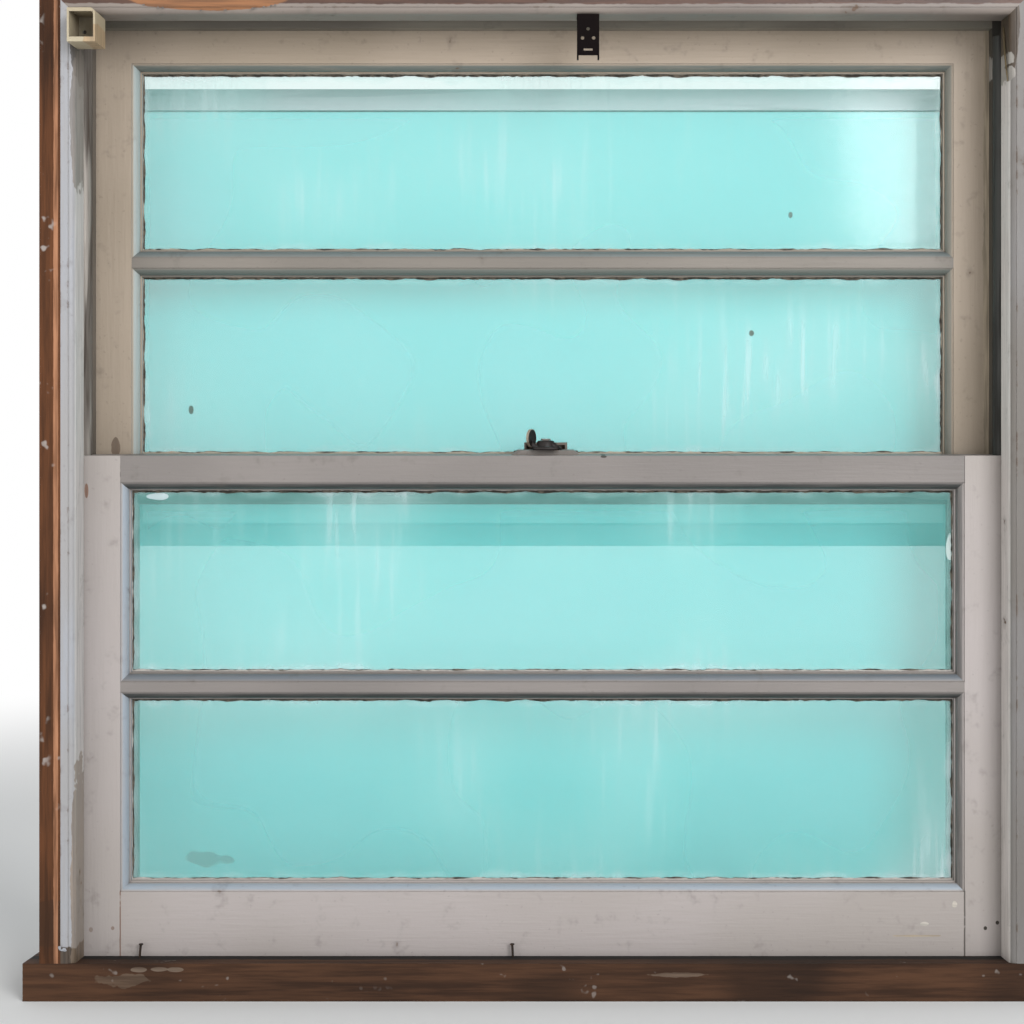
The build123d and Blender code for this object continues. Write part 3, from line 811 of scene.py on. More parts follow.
@dataclass
class Sash:
    """One of the two glazed sashes.

    Attributes:
        name: lower or upper.
        rail: the node name of its outer rail.
        paint: fresh part of its paint.
        aged: yellowed part.
        cool: painted light on the faces of its mouldings that look up or to the right.
        shaded: painted shade on the faces of its mouldings that look down or to the left.
        bars: paint of its check rail and muntin, darker than on the rest of the sash.
        edge_paint: paint that laps onto the glass.
        haze: how much dust lies on its panes.
        seed: picks the shape of what lies along the glass.
        cracked: whether its paint has cracked over the joints.
        patches: bare or stained places on its stiles.
        marks: smears on its panes.
    """

    name: str
    rail: str
    paint: Colour
    aged: Colour
    cool: Colour
    shaded: Colour
    bars: Colour
    edge_paint: Colour
    haze: float
    seed: float
    cracked: bool = False
    patches: tuple[Patch, ...] = ()
    marks: tuple[Patch, ...] = ()

    @property
    def body(self) -> str:
        """The body that the sash is."""
        return f"{self.name}_sash"

    def nodes(self, *parts: str) -> list[str]:
        """Names of the sash's nodes."""
        return [f"{self.name}_{part}" for part in parts]

    def joints(self) -> tuple[Crack, ...]:
        """Cracks over the joints between the stiles and the rails."""
        if not self.cracked:
            return ()
        low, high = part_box(f"{self.name}_{self.rail}")
        check_low, check_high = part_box(f"{self.name}_check_rail")
        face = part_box(f"{self.name}_muntin")[1].x - 12 * MM
        moulding = 8 * MM
        return (
            Crack(-face, low.z, high.z - moulding, 0.8 * MM, (0.15, 0.065, 0.03)),
            Crack(face, low.z, high.z - moulding, 1.0 * MM),
            Crack(-face, check_low.z + moulding, check_high.z, 0.5 * MM),
            Crack(face, check_low.z + moulding, check_high.z, 0.5 * MM),
        )

    def build(self) -> None:
        """Dresses the sash and adds what lies along its glass."""
        coat = {"paint": self.paint, "aged": self.aged, "cool": self.cool, "shaded": self.shaded,
                "cracks": self.joints(), "patches": self.patches}
        rails = self.nodes(self.rail)
        bars = self.nodes("check_rail", "muntin")
        stiles = self.nodes("stile_left", "stile_right")
        dress(rails, OldPaint(f"{self.name}_rail_paint", Run.ACROSS, **coat))
        dress(stiles, OldPaint(f"{self.name}_stile_paint", Run.UPRIGHT, **coat))
        # The check rail and muntin get a darker paint and dimmer painted light on their mouldings.
        coat.update(paint=self.bars, aged=scaled(self.bars, 0.82), cool=scaled(self.cool, 0.45))
        dress(bars, OldPaint(f"{self.name}_bar_paint", Run.ACROSS, **coat))
        soften(rails + bars + stiles, 0.7 * MM)
        dress(self.nodes("putty"), Filler(f"{self.name}_putty_face", (0.42, 0.39, 0.34), (0.30, 0.26, 0.21)))
        for pane in ("top", "bottom"):
            self.glaze(pane)

    def glaze(self, pane: str) -> None:
        """Dresses one pane and lays grime, with painted shade along the top, and paint along its edge."""
        node = f"{self.name}_glass_{pane}"
        light = light_of(node)
        marks = tuple(mark for mark in self.marks if light.low < mark.z < light.high)
        dress([node], WindowGlass(f"{node}_pane", light.half, light.low, light.high, haze=self.haze,
                                  marks=marks))
        clear_pane(node)
        # Dark crust on the glass along its edge, widened along the top as painted shade under the moulding.
        grime = bmesh.new()
        GlassEdge(1.7 * MM, 1.0 * MM, 0.5 * MM, 0.3 * MM, self.seed).build(light, grime, self.grime_and_shade_share)
        dark = Filler(f"{node}_grime_and_shade_crust", (0.030, 0.027, 0.021), (0.13, 0.11, 0.085), 0.9)
        settle(f"{node}_grime", grime, self.body, dark)
        lap = bmesh.new()
        GlassEdge(0.7 * MM, 0.9 * MM, 1.1 * MM, 0.5 * MM, self.seed + 3).build(light, lap, self.lap_share)
        film = Filler(f"{node}_lapped_paint", self.edge_paint, self.aged, 0.5)
        settle(f"{node}_paint_edge", lap, self.body, film)

    @staticmethod
    def grime_and_shade_share(inward: Vector) -> float:
        """Width of the grime by the side that it lies on: wider along the top, where it also paints the shade
        under the moulding.
        """
        return 1.35 if inward.z < 0 else 1.0

    @staticmethod
    def lap_share(inward: Vector) -> float:
        """Width of the lapped paint by the side that it lies on."""
        return 1.8 if inward.z > 0 else 0.5


@dataclass(frozen=True)
class SlottedScrew:
    """Wood screw with a slotted head.

    Attributes:
        head: radius of the head.
        shank: radius of the shank.
        slot: half the width of the slot.
        depth: depth of the slot.
        tip: length of the tapered tip.
        sides: number of sides that make it round.
    """

    head: float = 3.6 * MM
    shank: float = 2.0 * MM
    slot: float = 0.45 * MM
    depth: float = 0.9 * MM
    tip: float = 3 * MM
    sides: int = 28

    def build(self, mesh: bmesh.types.BMesh, place: Point, sunk: float, length: float, turn: float,
              axis: Point = (0.0, 0.0, 1.0)) -> None:
        """Adds one screw to a mesh.

        Args:
            mesh: receives the faces.
            place: middle of the rim of the head.
            sunk: depth of the head below its rim.
            length: whole length below the rim.
            turn: direction of the slot, in degrees.
            axis: direction that the head faces.
        """
        made = bmesh.new()
        rim, surface = 0.15 * MM, -0.1 * MM
        levels = [(self.shank * 0.3, -length), (self.shank, -length + self.tip), (self.shank, -sunk),
                  (self.head, -sunk * 0.35), (self.head, -rim), (self.head - rim, 0.0)]
        loft(made, [ring(Vector((0, 0, z)), radius, self.sides) for radius, z in levels], False)
        top = [face for face in made.faces
               if len(face.verts) == self.sides and face.calc_center_median().z > surface]
        for side in (-1, 1):
            edges = [edge for face in top for edge in face.edges]
            corners = [vert for face in top for vert in face.verts]
            bmesh.ops.bisect_plane(made, geom=list(dict.fromkeys(top + edges + corners)), dist=1e-7,
                                   plane_co=(0, side * self.slot, 0), plane_no=(0, side, 0))
            top = [face for face in made.faces if all(vert.co.z > surface for vert in face.verts)]
        floor = [face for face in top if abs(face.calc_center_median().y) < self.slot * 0.9]
        for face in bmesh.ops.extrude_discrete_faces(made, faces=floor)["faces"]:
            for vert in face.verts:
                vert.co.z -= self.depth
        spin = Vector(axis).to_track_quat("Z", "Y").to_matrix().to_4x4()
        spin = Matrix.Translation(place) @ spin @ Matrix.Rotation(math.radians(turn), 4, "Z")
        bmesh.ops.transform(made, matrix=spin, verts=made.verts)
        copy = bpy.data.meshes.new("screw")
        made.to_mesh(copy)
        made.free()
        mesh.from_mesh(copy)
        bpy.data.meshes.remove(copy)


@dataclass(frozen=True)
class Nail:
    """Wire nail, a little bent, with a flat head.

    Attributes:
        radius: of the wire.
        head: radius of its head.
        lean: how far its top leans to the right.
        sides: number of sides that make it round.
    """

    radius: float = 1.1 * MM
    head: float = 2.1 * MM
    lean: float = 1.0 * MM
    sides: int = 12

    def build(self, mesh: bmesh.types.BMesh, foot: Point, height: float) -> None:
        """Adds one nail that stands on foot."""
        base = Vector(foot)
        sections = []
        for share in (0.0, 0.3, 0.6, 0.9):
            centre = base + Vector((self.lean * share * share, 0, height * share))
            sections.append(ring(centre, self.radius, self.sides))
        tip = base + Vector((self.lean, 0, height))
        crown = ((self.radius, -0.9), (self.head, -0.8), (self.head, -0.1), (self.head * 0.8, 0.0))
        for radius, rise in crown:
            sections.append(ring(tip + Vector((0, 0, rise * MM)), radius, self.sides))
        loft(mesh, sections, False)


@dataclass(frozen=True)
class PaintFlakes:
    """Curled flakes of old paint that still cling to a face that looks into the room.

    Attributes:
        name: the piece's name.
        body: what it rides on.
        slot: the material slot of the paint; not used.
        places: middle of each flake, on the face.
        size: mean length of a flake.
        colour: the paint.
        seed: picks the shapes.
        thick: thickness of a flake.
        corners: number of corners of its outline.
    """

    name: str
    body: str
    slot: str
    places: tuple[Point, ...]
    size: float
    colour: Colour
    seed: int
    thick: float = 0.35 * MM
    corners: int = 9

    def build(self) -> None:
        """Builds the flakes as one piece."""
        chance = random.Random(self.seed)
        mesh = bmesh.new()
        for place in self.places:
            self.flake(mesh, Vector(place), chance)
        finish = Filler(f"{self.name}_film", self.colour, scaled(self.colour, 0.7), 0.5)
        settle(self.name, mesh, self.body, finish)

    def flake(self, mesh: bmesh.types.BMesh, place: Vector, chance: random.Random) -> None:
        """Adds one flake: an uneven outline, thin, and lifted off the face along one side."""
        turn = chance.uniform(0, 2 * math.pi)
        lift = chance.uniform(0.6, 1.6) * MM
        outline = []
        for corner in range(self.corners):
            angle = 2 * math.pi * corner / self.corners
            reach = self.size * chance.uniform(0.35, 0.62)
            outline.append((reach * math.cos(angle), 0.62 * reach * math.sin(angle)))
        sections = []
        for depth in (0.0, self.thick):
            section = []
            for along, aside in outline:
                share = max(0.0, along / self.size + 0.35)
                x = along * math.cos(turn) - aside * math.sin(turn)
                z = along * math.sin(turn) + aside * math.cos(turn)
                section.append(place + Vector((x, -0.05 * MM - depth - lift * share * share * 2, z)))
            sections.append(section)
        loft(mesh, sections, False)


@dataclass
class WindowFrame:
    """Jambs, head, sill, stops and the fittings and marks on them.

    Attributes:
        body: what all of it rides on.
        left_stop: paint of the left stop.
        right_stop: paint of the right stop.
        head_stop: paint of the head stop.
        orange: wood under the arc of torn paint on the head stop.
    """

    body: str = "window_frame"
    left_stop: Colour = (0.36, 0.37, 0.40)
    right_stop: Colour = (0.18, 0.17, 0.165)
    head_stop: Colour = (0.19, 0.16, 0.14)
    orange: Colour = (0.30, 0.125, 0.045)

    def build(self) -> None:
        """Builds and dresses the frame."""
        self.wood()
        self.stops()
        self.fittings()
        self.nails()
        self.loose_paint()

    def wood(self) -> None:
        """Dresses jambs, head and sill."""
        jamb = {"dark": (0.045, 0.017, 0.006), "light": (0.145, 0.052, 0.019), "remnants": 0.22}
        stain = Patch(-0.44, 0.070, 0.03, 0.020, (0.03, 0.015, 0.008), 0.4, 0.8)
        # Painted highlight: a thin strip of orange light along the jamb's edge by the left stop.
        lit = Patch(-0.4362, 0.45, 0.0022, 0.80, (0.50, 0.24, 0.13), 0.3, 0.8)
        dress(["jamb_left", "jamb_right"], BareWood("jamb_wood", Run.UPRIGHT, patches=(stain, lit), **jamb))
        dress(["head_jamb"], BareWood("head_wood", Run.ACROSS, **jamb))
        pale = (0.24, 0.185, 0.14)
        scuffs = (
            Patch(-0.362, 0.0285, 0.0075, 0.0022, pale, 0.5, 0.5),
            Patch(-0.343, 0.0288, 0.0080, 0.0020, pale, 0.5, 0.5),
            Patch(-0.329, 0.0286, 0.0075, 0.0022, pale, 0.5, 0.5),
            Patch(-0.378, 0.0190, 0.026, 0.0060, (0.19, 0.145, 0.105), 1.3, 0.32),
            Patch(0.120, 0.0240, 0.030, 0.0022, pale, 1.1, 0.4),
        )
        dress(["sill"], BareWood("sill_wood", Run.ACROSS, (0.026, 0.011, 0.005), (0.090, 0.040, 0.019),
                                 remnants=0.10, soiled_and_shaded=-0.014, patches=scuffs))
        soften(["jamb_left", "jamb_right", "head_jamb", "sill"], 0.8 * MM)

    def stops(self) -> None:
        """Dresses the three sets of stops."""
        bare = (
            Patch(-0.4257, 0.030, 0.016, 0.0180, (0.075, 0.052, 0.036), 0.35),
            Patch(-0.4190, 0.877, 0.0052, 0.052, (0.085, 0.065, 0.047), 0.55, 0.85),
            Patch(-0.4190, 0.790, 0.0048, 0.060, (0.27, 0.235, 0.205), 0.5, 0.85),
            Patch(-0.4190, 0.100, 0.0040, 0.110, (0.26, 0.19, 0.13), 0.7, 0.7),
        )
        primer = (0.42, 0.39, 0.35)
        peeled = (
            Patch(0.4190, 0.874, 0.0085, 0.045, (0.080, 0.055, 0.035), 0.35),
            Patch(0.4190, 0.846, 0.0050, 0.0060, primer, 1.0),
            Patch(0.4190, 0.833, 0.0050, 0.0080, primer, 1.0),
        )
        bared = (
            Patch(0.02, 0.9120, 1.50, 0.0178, (0.085, 0.036, 0.020), 0.12),
            Patch(-0.298, 0.9010, 0.074, 0.0125, self.orange, 0.12),
        )
        pale = Patch(0.4245, 0.848, 0.006, 0.017, (0.40, 0.38, 0.35), 0.7)
        shade = (0.055, 0.05, 0.04)
        outside = {"paint": (0.50, 0.49, 0.46), "aged": (0.36, 0.31, 0.26), "chips": 0.6}
        across, upright = Run.ACROSS, Run.UPRIGHT
        # The bright colours of the stops' side faces are painted light; the right parting stop's near black is
        # painted shade in its runway.
        coats = {
            "stop_left": OldPaint("left_stop_paint", upright, self.left_stop, (0.34, 0.33, 0.33), chips=0.4,
                                  lines=0.6, lit_sides=(0.58, 0.56, 0.54), patches=bare),
            "stop_right": OldPaint("right_stop_paint", upright, self.right_stop, (0.15, 0.135, 0.12), chips=0.5,
                                   lit_sides=(0.72, 0.67, 0.63), patches=peeled),
            "stop_head": OldPaint("head_stop_paint", across, self.head_stop, (0.26, 0.22, 0.19), chips=0.35,
                                  patches=bared),
            "parting_stop_left": OldPaint("left_parting_paint", upright, (0.14, 0.12, 0.10), shade, chips=0.6),
            "parting_stop_right": OldPaint("right_parting_painted_shade", upright, (0.045, 0.042, 0.034), shade,
                                           chips=0.6, patches=(pale,)),
            "parting_stop_head": OldPaint("head_parting_paint", across, (0.225, 0.205, 0.165),
                                          (0.15, 0.135, 0.11), chips=0.3),
            "blind_stop_left blind_stop_right": OldPaint("outside_paint_upright", upright, **outside),
            "blind_stop_head": OldPaint("outside_paint_across", across, **outside),
        }
        for nodes, coat in coats.items():
            dress(nodes.split(), coat)
            soften(nodes.split(), 0.8 * MM)

    def fittings(self) -> None:
        """Dresses the corner bracket and the head bracket, and makes the screw that holds the latter."""
        low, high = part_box("corner_block")
        # Painted light: a warm pool of light on the lower right corner of the box.
        warm_light_pool = Patch(high.x, low.z, 0.010, 0.016, (0.46, 0.30, 0.16), 0.3, 0.7)
        dress(["corner_block"], OldPaint("box_paint", Run.UPRIGHT, (0.47, 0.41, 0.29), (0.40, 0.33, 0.22),
                                         chips=0.15, grime=0.15, patches=(warm_light_pool,)))
        soften(["corner_block"], 0.5 * MM)
        dress(["head_bracket"], Metal("bracket_metal", (0.006, 0.004, 0.004), (0.016, 0.009, 0.006),
                                      rough=0.6, metallic=0.0, spots=0.2, shine=0.03))
        soften(["head_bracket"], 0.3 * MM)
        low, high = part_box("bracket_screws")
        mesh = bmesh.new()
        place = ((low.x + high.x) / 2, (low.y + high.y) / 2, low.z)
        SlottedScrew().build(mesh, place, 1.6 * MM, high.z - low.z, 20.0, (0.0, 0.0, -1.0))
        screw = settle("bracket_wood_screw", mesh, self.body,
                       Metal("bracket_screw_metal", (0.20, 0.18, 0.15), (0.06, 0.04, 0.03)))
        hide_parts("bracket_screws")

    def nails(self) -> None:
        """Drives two nails into the sill, before the sash."""
        mesh = bmesh.new()
        for x, lean in ((-0.367, 1.2 * MM), (-0.027, -0.6 * MM)):
            Nail(lean=lean).build(mesh, (x, -6 * MM, 29.5 * MM), 14 * MM)
        rust = Metal("nail_rust", (0.022, 0.016, 0.012), (0.07, 0.035, 0.02), 0.7, 0.5)
        settle("sill_nails", mesh, self.body, rust)

    def loose_paint(self) -> None:
        """Adds the flakes at the edges of the bare places, and a splinter off the right stop."""
        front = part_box("stop_left")[0].y
        foot = ((-0.4325, front, 0.0480), (-0.4290, front, 0.0465))
        PaintFlakes("stop_foot_flakes", self.body, "stop_wood", foot, 5 * MM, self.left_stop, seed=3).build()
        chance = random.Random(4)
        angles = [chance.uniform(0.5, 2.7) for step in range(11)]
        arc = tuple((-0.298 + 0.073 * math.cos(angle), front, 0.9006 - 0.0125 * math.sin(angle))
                    for angle in angles)
        PaintFlakes("head_stop_flakes", self.body, "stop_wood", arc, 2.6 * MM, self.head_stop, seed=5).build()
        self.splinter()

    def splinter(self) -> None:
        """Adds the long splinter that stands off the side of the right stop."""
        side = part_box("stop_right")[0].x
        thick = 0.8 * MM
        mesh = bmesh.new()
        sections = []
        for share, width in ((0.0, 0.5), (0.12, 2.6), (0.5, 3.2), (0.85, 2.0), (1.0, 0.3)):
            y, z = -12 * MM - share * 17 * MM, 0.878 - share * 0.052
            half, off = width / 2 * MM, (0.9 + 0.9 * math.sin(3.0 * share)) * MM
            near, far = side - off, side - off + thick
            corners = ((near, y - half), (near, y + half), (far, y + half), (far, y - half))
            sections.append([Vector((x, depth, z)) for x, depth in corners])
        loft(mesh, sections, False)
        wood = BareWood("splinter_wood", Run.UPRIGHT, (0.07, 0.055, 0.03), (0.20, 0.15, 0.08), remnants=0.1)
        settle("stop_splinter", mesh, self.body, wood)


@dataclass
class SashLock:
    """Lock on the lower check rail and its keeper on the upper one.

    Attributes:
        pivot: place of the lever's pin across and in depth.
        hub: radius of the lever's hub at its foot.
        rise: height of the hub.
        cam: reach and thickness of the cam, and half its angle in degrees.
        tab: half the width and half the height of the finger tab.
        thick: thickness of the tab.
        turn: direction that the tab's face looks in, in degrees from the right towards the room.
    """

    pivot: tuple[float, float] = (0.0030, 0.0267)
    hub: float = 9.5 * MM
    rise: float = 8.4 * MM
    cam: tuple[float, float, float] = (21.7 * MM, 3.0 * MM, 34.0)
    tab: tuple[float, float] = (6.8 * MM, 8.2 * MM)
    thick: float = 2.6 * MM
    turn: float = 32.0

    def build(self) -> None:
        """Dresses the lock and its keeper and makes their screws."""
        dress(["lock_base"], OldPaint("lock_base_paint", Run.ACROSS, (0.205, 0.185, 0.17), (0.16, 0.14, 0.12),
                                      chips=0.4, grime=0.7))
        dress(["lock_keeper"], Metal("keeper_metal", (0.07, 0.05, 0.035), (0.22, 0.19, 0.16), 0.5, 0.6))
        soften(["lock_base", "lock_keeper"], 0.4 * MM)
        self.lever()
        self.screws("lock_screws", "lower_sash", (35.0, 110.0))
        self.screws("keeper_screws", "upper_sash", (70.0, 5.0))

    def lever(self) -> None:
        """Makes the lever and the old paint on its tab in place of the plain lever."""
        centre = Vector((*self.pivot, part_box("lock_lever")[0].z))
        up = Vector((0, 0, 1))
        mesh = bmesh.new()
        profile = ((1.0, 0.0), (1.0, 0.12), (0.86, 0.80), (0.78, 0.95), (0.66, 1.0))
        hub = [ring(centre + up * self.rise * level, self.hub * share, 32) for share, level in profile]
        loft(mesh, hub, False)
        self.cam_plate(mesh, centre)
        self.skirt(mesh, centre)
        middle = centre + Vector((1, 0, 0)) * -13.2 * MM + up * 10.6 * MM
        self.arm(mesh, centre, middle)
        face = Vector((math.cos(math.radians(self.turn)), -math.sin(math.radians(self.turn)), 0.0))
        aside = Vector((-face.y, face.x, 0.0))
        dished = ((0.80, -0.5), (0.97, -0.42), (1.0, 0.0), (0.97, 0.42), (0.86, 0.5), (0.74, 0.28),
                  (0.40, 0.20))
        tab = [self.oval(middle + face * depth * self.thick, aside, share) for share, depth in dished]
        loft(mesh, tab, False)
        black = Metal("lock_lever_metal", (0.014, 0.011, 0.010), (0.06, 0.045, 0.035), rough=0.5,
                      metallic=0.0, spots=0.25, shine=0.3)
        handle = settle("lock_turning_lever", mesh, "lock_arm", black, smooth=True)
        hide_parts("lock_lever")
        self.tab_paint(middle, face, aside)

    def oval(self, middle: Vector, aside: Vector, share: float, sides: int = 28) -> list[Vector]:
        """Outline of the tab, made smaller by a share."""
        half, tall = self.tab
        turns = (2 * math.pi * side / sides for side in range(sides))
        return [
            middle + aside * (share * half * math.cos(turn)) + Vector((0, 0, share * tall * math.sin(turn)))
            for turn in turns
        ]

    def cam_plate(self, mesh: bmesh.types.BMesh, centre: Vector) -> None:
        """Adds the cam, a flat sector that looks into the room when the lock is open."""
        reach, thick, half = self.cam
        steps = [math.radians(-90 + half * (step / 6 - 1)) for step in range(13)]
        arc = [Vector((reach * math.cos(turn), reach * math.sin(turn), 0)) for turn in steps]
        sections = [[centre + point + Vector((0, 0, level)) for point in [Vector((0, 0, 0)), *arc]]
                    for level in (0.0, thick)]
        loft(mesh, sections, False)

    def skirt(self, mesh: bmesh.types.BMesh, centre: Vector) -> None:
        """Adds the slope that runs down from the hub to the right."""
        sections = []
        for out, half, top in ((4.0, 7.5, 8.0), (8.5, 7.0, 6.2), (12.5, 5.5, 2.8), (15.0, 3.8, 0.9)):
            corners = ((-half, 0.05), (half, 0.05), (0.8 * half, top), (-0.8 * half, top))
            sections.append([centre + Vector((out, side, level)) * MM for side, level in corners])
        loft(mesh, sections, False)

    @staticmethod
    def arm(mesh: bmesh.types.BMesh, centre: Vector, middle: Vector) -> None:
        """Adds the neck that rises from the hub to the tab."""
        sections = []
        for share, half, top in ((0.0, 4.5, 5.0), (0.45, 4.2, 4.6), (0.8, 3.6, 6.5), (1.0, 3.0, 8.5)):
            x = -5.0 + share * ((middle.x - centre.x) / MM + 5.0)
            corners = ((-half, 0.1), (half, 0.1), (half, top), (-half, top))
            sections.append([centre + Vector((x, side, level)) * MM for side, level in corners])
        loft(mesh, sections, False)

    def tab_paint(self, middle: Vector, face: Vector, aside: Vector) -> None:
        """Leaves old paint on the rim of the tab, thickest on its upper left."""
        mesh = bmesh.new()
        corners = ((1.035, -0.55), (1.035, 0.34), (0.96, 0.34), (0.96, -0.55))
        ovals = [self.oval(middle + face * depth * self.thick, aside, share) for share, depth in corners]
        loft(mesh, [list(section) for section in zip(*ovals)], True)
        paint = Filler("lock_tab_paint_film", (0.34, 0.29, 0.22), (0.13, 0.10, 0.07), 0.5)
        settle("lock_tab_paint", mesh, "lock_arm", paint)

    def screws(self, node: str, body: str, turns: tuple[float, float]) -> None:
        """Makes slotted screws in place of a node's two plain ones."""
        low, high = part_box(node)
        head = SlottedScrew().head
        mesh = bmesh.new()
        for x, turn in ((low.x + head, turns[0]), (high.x - head, turns[1])):
            place = (x, (low.y + high.y) / 2, high.z)
            SlottedScrew().build(mesh, place, 2.2 * MM, high.z - low.z, turn)
        finish = Metal(f"{node}_metal", (0.20, 0.17, 0.13), (0.05, 0.04, 0.03), 0.4)
        made = settle(node.replace("screws", "slotted_screws"), mesh, body, finish)
        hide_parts(node)


@dataclass
class Balances:
    """Tubes beside the sashes and the strips that run in them.

    Attributes:
        sides: the four balances.
    """

    sides: tuple[str, ...] = ("lower_left", "lower_right", "upper_left", "upper_right")

    def build(self) -> None:
        """Dresses the balances and screws the tubes' tabs to the jambs."""
        dress(["balance_tube_lower_left", "balance_tube_upper_left"],
              Metal("left_tube_metal", (0.30, 0.27, 0.24), (0.060, 0.045, 0.034), 0.5, 0.35, 0.6))
        # The right tubes are near black as painted shade of their runway; the left ones show the lit metal.
        dress(["balance_tube_lower_right", "balance_tube_upper_right"],
              Metal("right_tube_painted_shade_metal", (0.045, 0.045, 0.040), (0.018, 0.016, 0.013), 0.6, 0.3, 0.6))
        strip = Metal("strip_metal", (0.35, 0.34, 0.32), (0.10, 0.07, 0.05))
        dress([f"balance_rod_{side}" for side in self.sides], strip)
        mesh = bmesh.new()
        for side in self.sides:
            low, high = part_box(f"balance_tube_{side}")
            facing = 1.0 if side.endswith("left") else -1.0
            wall = low.x if side.endswith("left") else high.x
            place = (wall + facing * 2.4 * MM, (low.y + high.y) / 2, high.z - 10 * MM)
            SlottedScrew(3.2 * MM, 1.6 * MM).build(mesh, place, 0.6 * MM, 2.3 * MM, 15.0, (facing, 0.0, 0.0))
        finish = Metal("tab_screw_metal", (0.16, 0.14, 0.11), (0.05, 0.04, 0.03))
        settle("tube_tab_screws", mesh, "window_frame", finish)


@dataclass
class StormWindow:
    """Aluminium frame and inserts on the outside.

    Attributes:
        bright: tone of the frame and the top rail.
        middle: tone of the stiles and the bottom rails.
        dark: tone of the rail where the inserts meet, darkened as painted shade of the shadow it lies in.
        stain: what every tone is mixed with where it is stained.
        bite: how deep the panes stand in their grooves.
    """

    bright: Colour = (0.50, 0.50, 0.53)
    middle: Colour = (0.21, 0.16, 0.17)
    dark: Colour = (0.045, 0.05, 0.055)
    stain: Colour = (0.30, 0.31, 0.31)
    bite: float = 5.5 * MM

    def build(self) -> None:
        """Dresses the storm window and adds the beads round its glass and the screws in its flanges."""
        tones = (
            ("storm_frame_across", self.bright, Run.ACROSS, ("storm_frame_head", "storm_frame_sill")),
            ("storm_frame_upright", self.bright, Run.UPRIGHT, ("storm_frame_left", "storm_frame_right")),
            ("storm_stile_metal", self.middle, Run.UPRIGHT,
             [f"storm_{name}_stile_{side}" for name in ("upper", "lower") for side in ("left", "right")]),
            ("storm_upper_top_metal", self.bright, Run.ACROSS, ("storm_upper_top_rail",)),
            ("storm_pull_rail_metal", self.middle, Run.ACROSS, ("storm_upper_bottom_rail",)),
            # The meeting rail's dark tone is painted shade.
            ("storm_meeting_painted_shade_metal", self.dark, Run.ACROSS, ("storm_lower_top_rail",)),
            ("storm_lower_bottom_metal", self.middle, Run.ACROSS, ("storm_lower_bottom_rail",)),
        )
        for name, tone, run, nodes in tones:
            stained = tuple(0.5 * (a + b) for a, b in zip(tone, self.stain))
            dress(nodes, Metal(name, tone, stained, 0.5, 0.15, 0.25, run))
        for name in ("upper", "lower"):
            self.glaze(name)
        self.flange_screws()

    def glaze(self, name: str) -> None:
        """Dresses one pane and lays a vinyl bead round it, on its room face."""
        node = f"storm_{name}_glass"
        light = light_of(node, self.bite)
        dress([node], WindowGlass(f"storm_{name}_pane", light.half, light.low, light.high, (0.05, 0.60, 0.62),
                                  body=0.44, haze=0.20, streaked=False))
        clear_pane(node)
        mesh = bmesh.new()
        GlassEdge(1.4 * MM, 0.0, 0.8 * MM, 0.0, 0.0).build(light, mesh, lambda inward: 1.0)
        rubber = Filler(f"storm_{name}_bead_vinyl", (0.05, 0.055, 0.055), (0.10, 0.11, 0.11), 0.6)
        settle(f"{node}_bead", mesh, f"storm_{name}_insert", rubber)

    @staticmethod
    def flange_screws() -> None:
        """Adds three screws in each side flange, on the outside."""
        mesh = bmesh.new()
        for side in ("left", "right"):
            low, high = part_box(f"storm_frame_{side}")
            x = low.x + 9 * MM if side == "left" else high.x - 9 * MM
            for share in (0.12, 0.5, 0.88):
                place = (x, low.y + 3.0 * MM, low.z + share * (high.z - low.z))
                screw = SlottedScrew(3.4 * MM, 1.6 * MM)
                screw.build(mesh, place, 1.2 * MM, 2.6 * MM, 70 * share, (0.0, 1.0, 0.0))
        finish = Metal("flange_screw_metal", (0.40, 0.40, 0.39), (0.16, 0.10, 0.07), 0.45)
        settle("storm_flange_screws", mesh, "window_frame", finish)


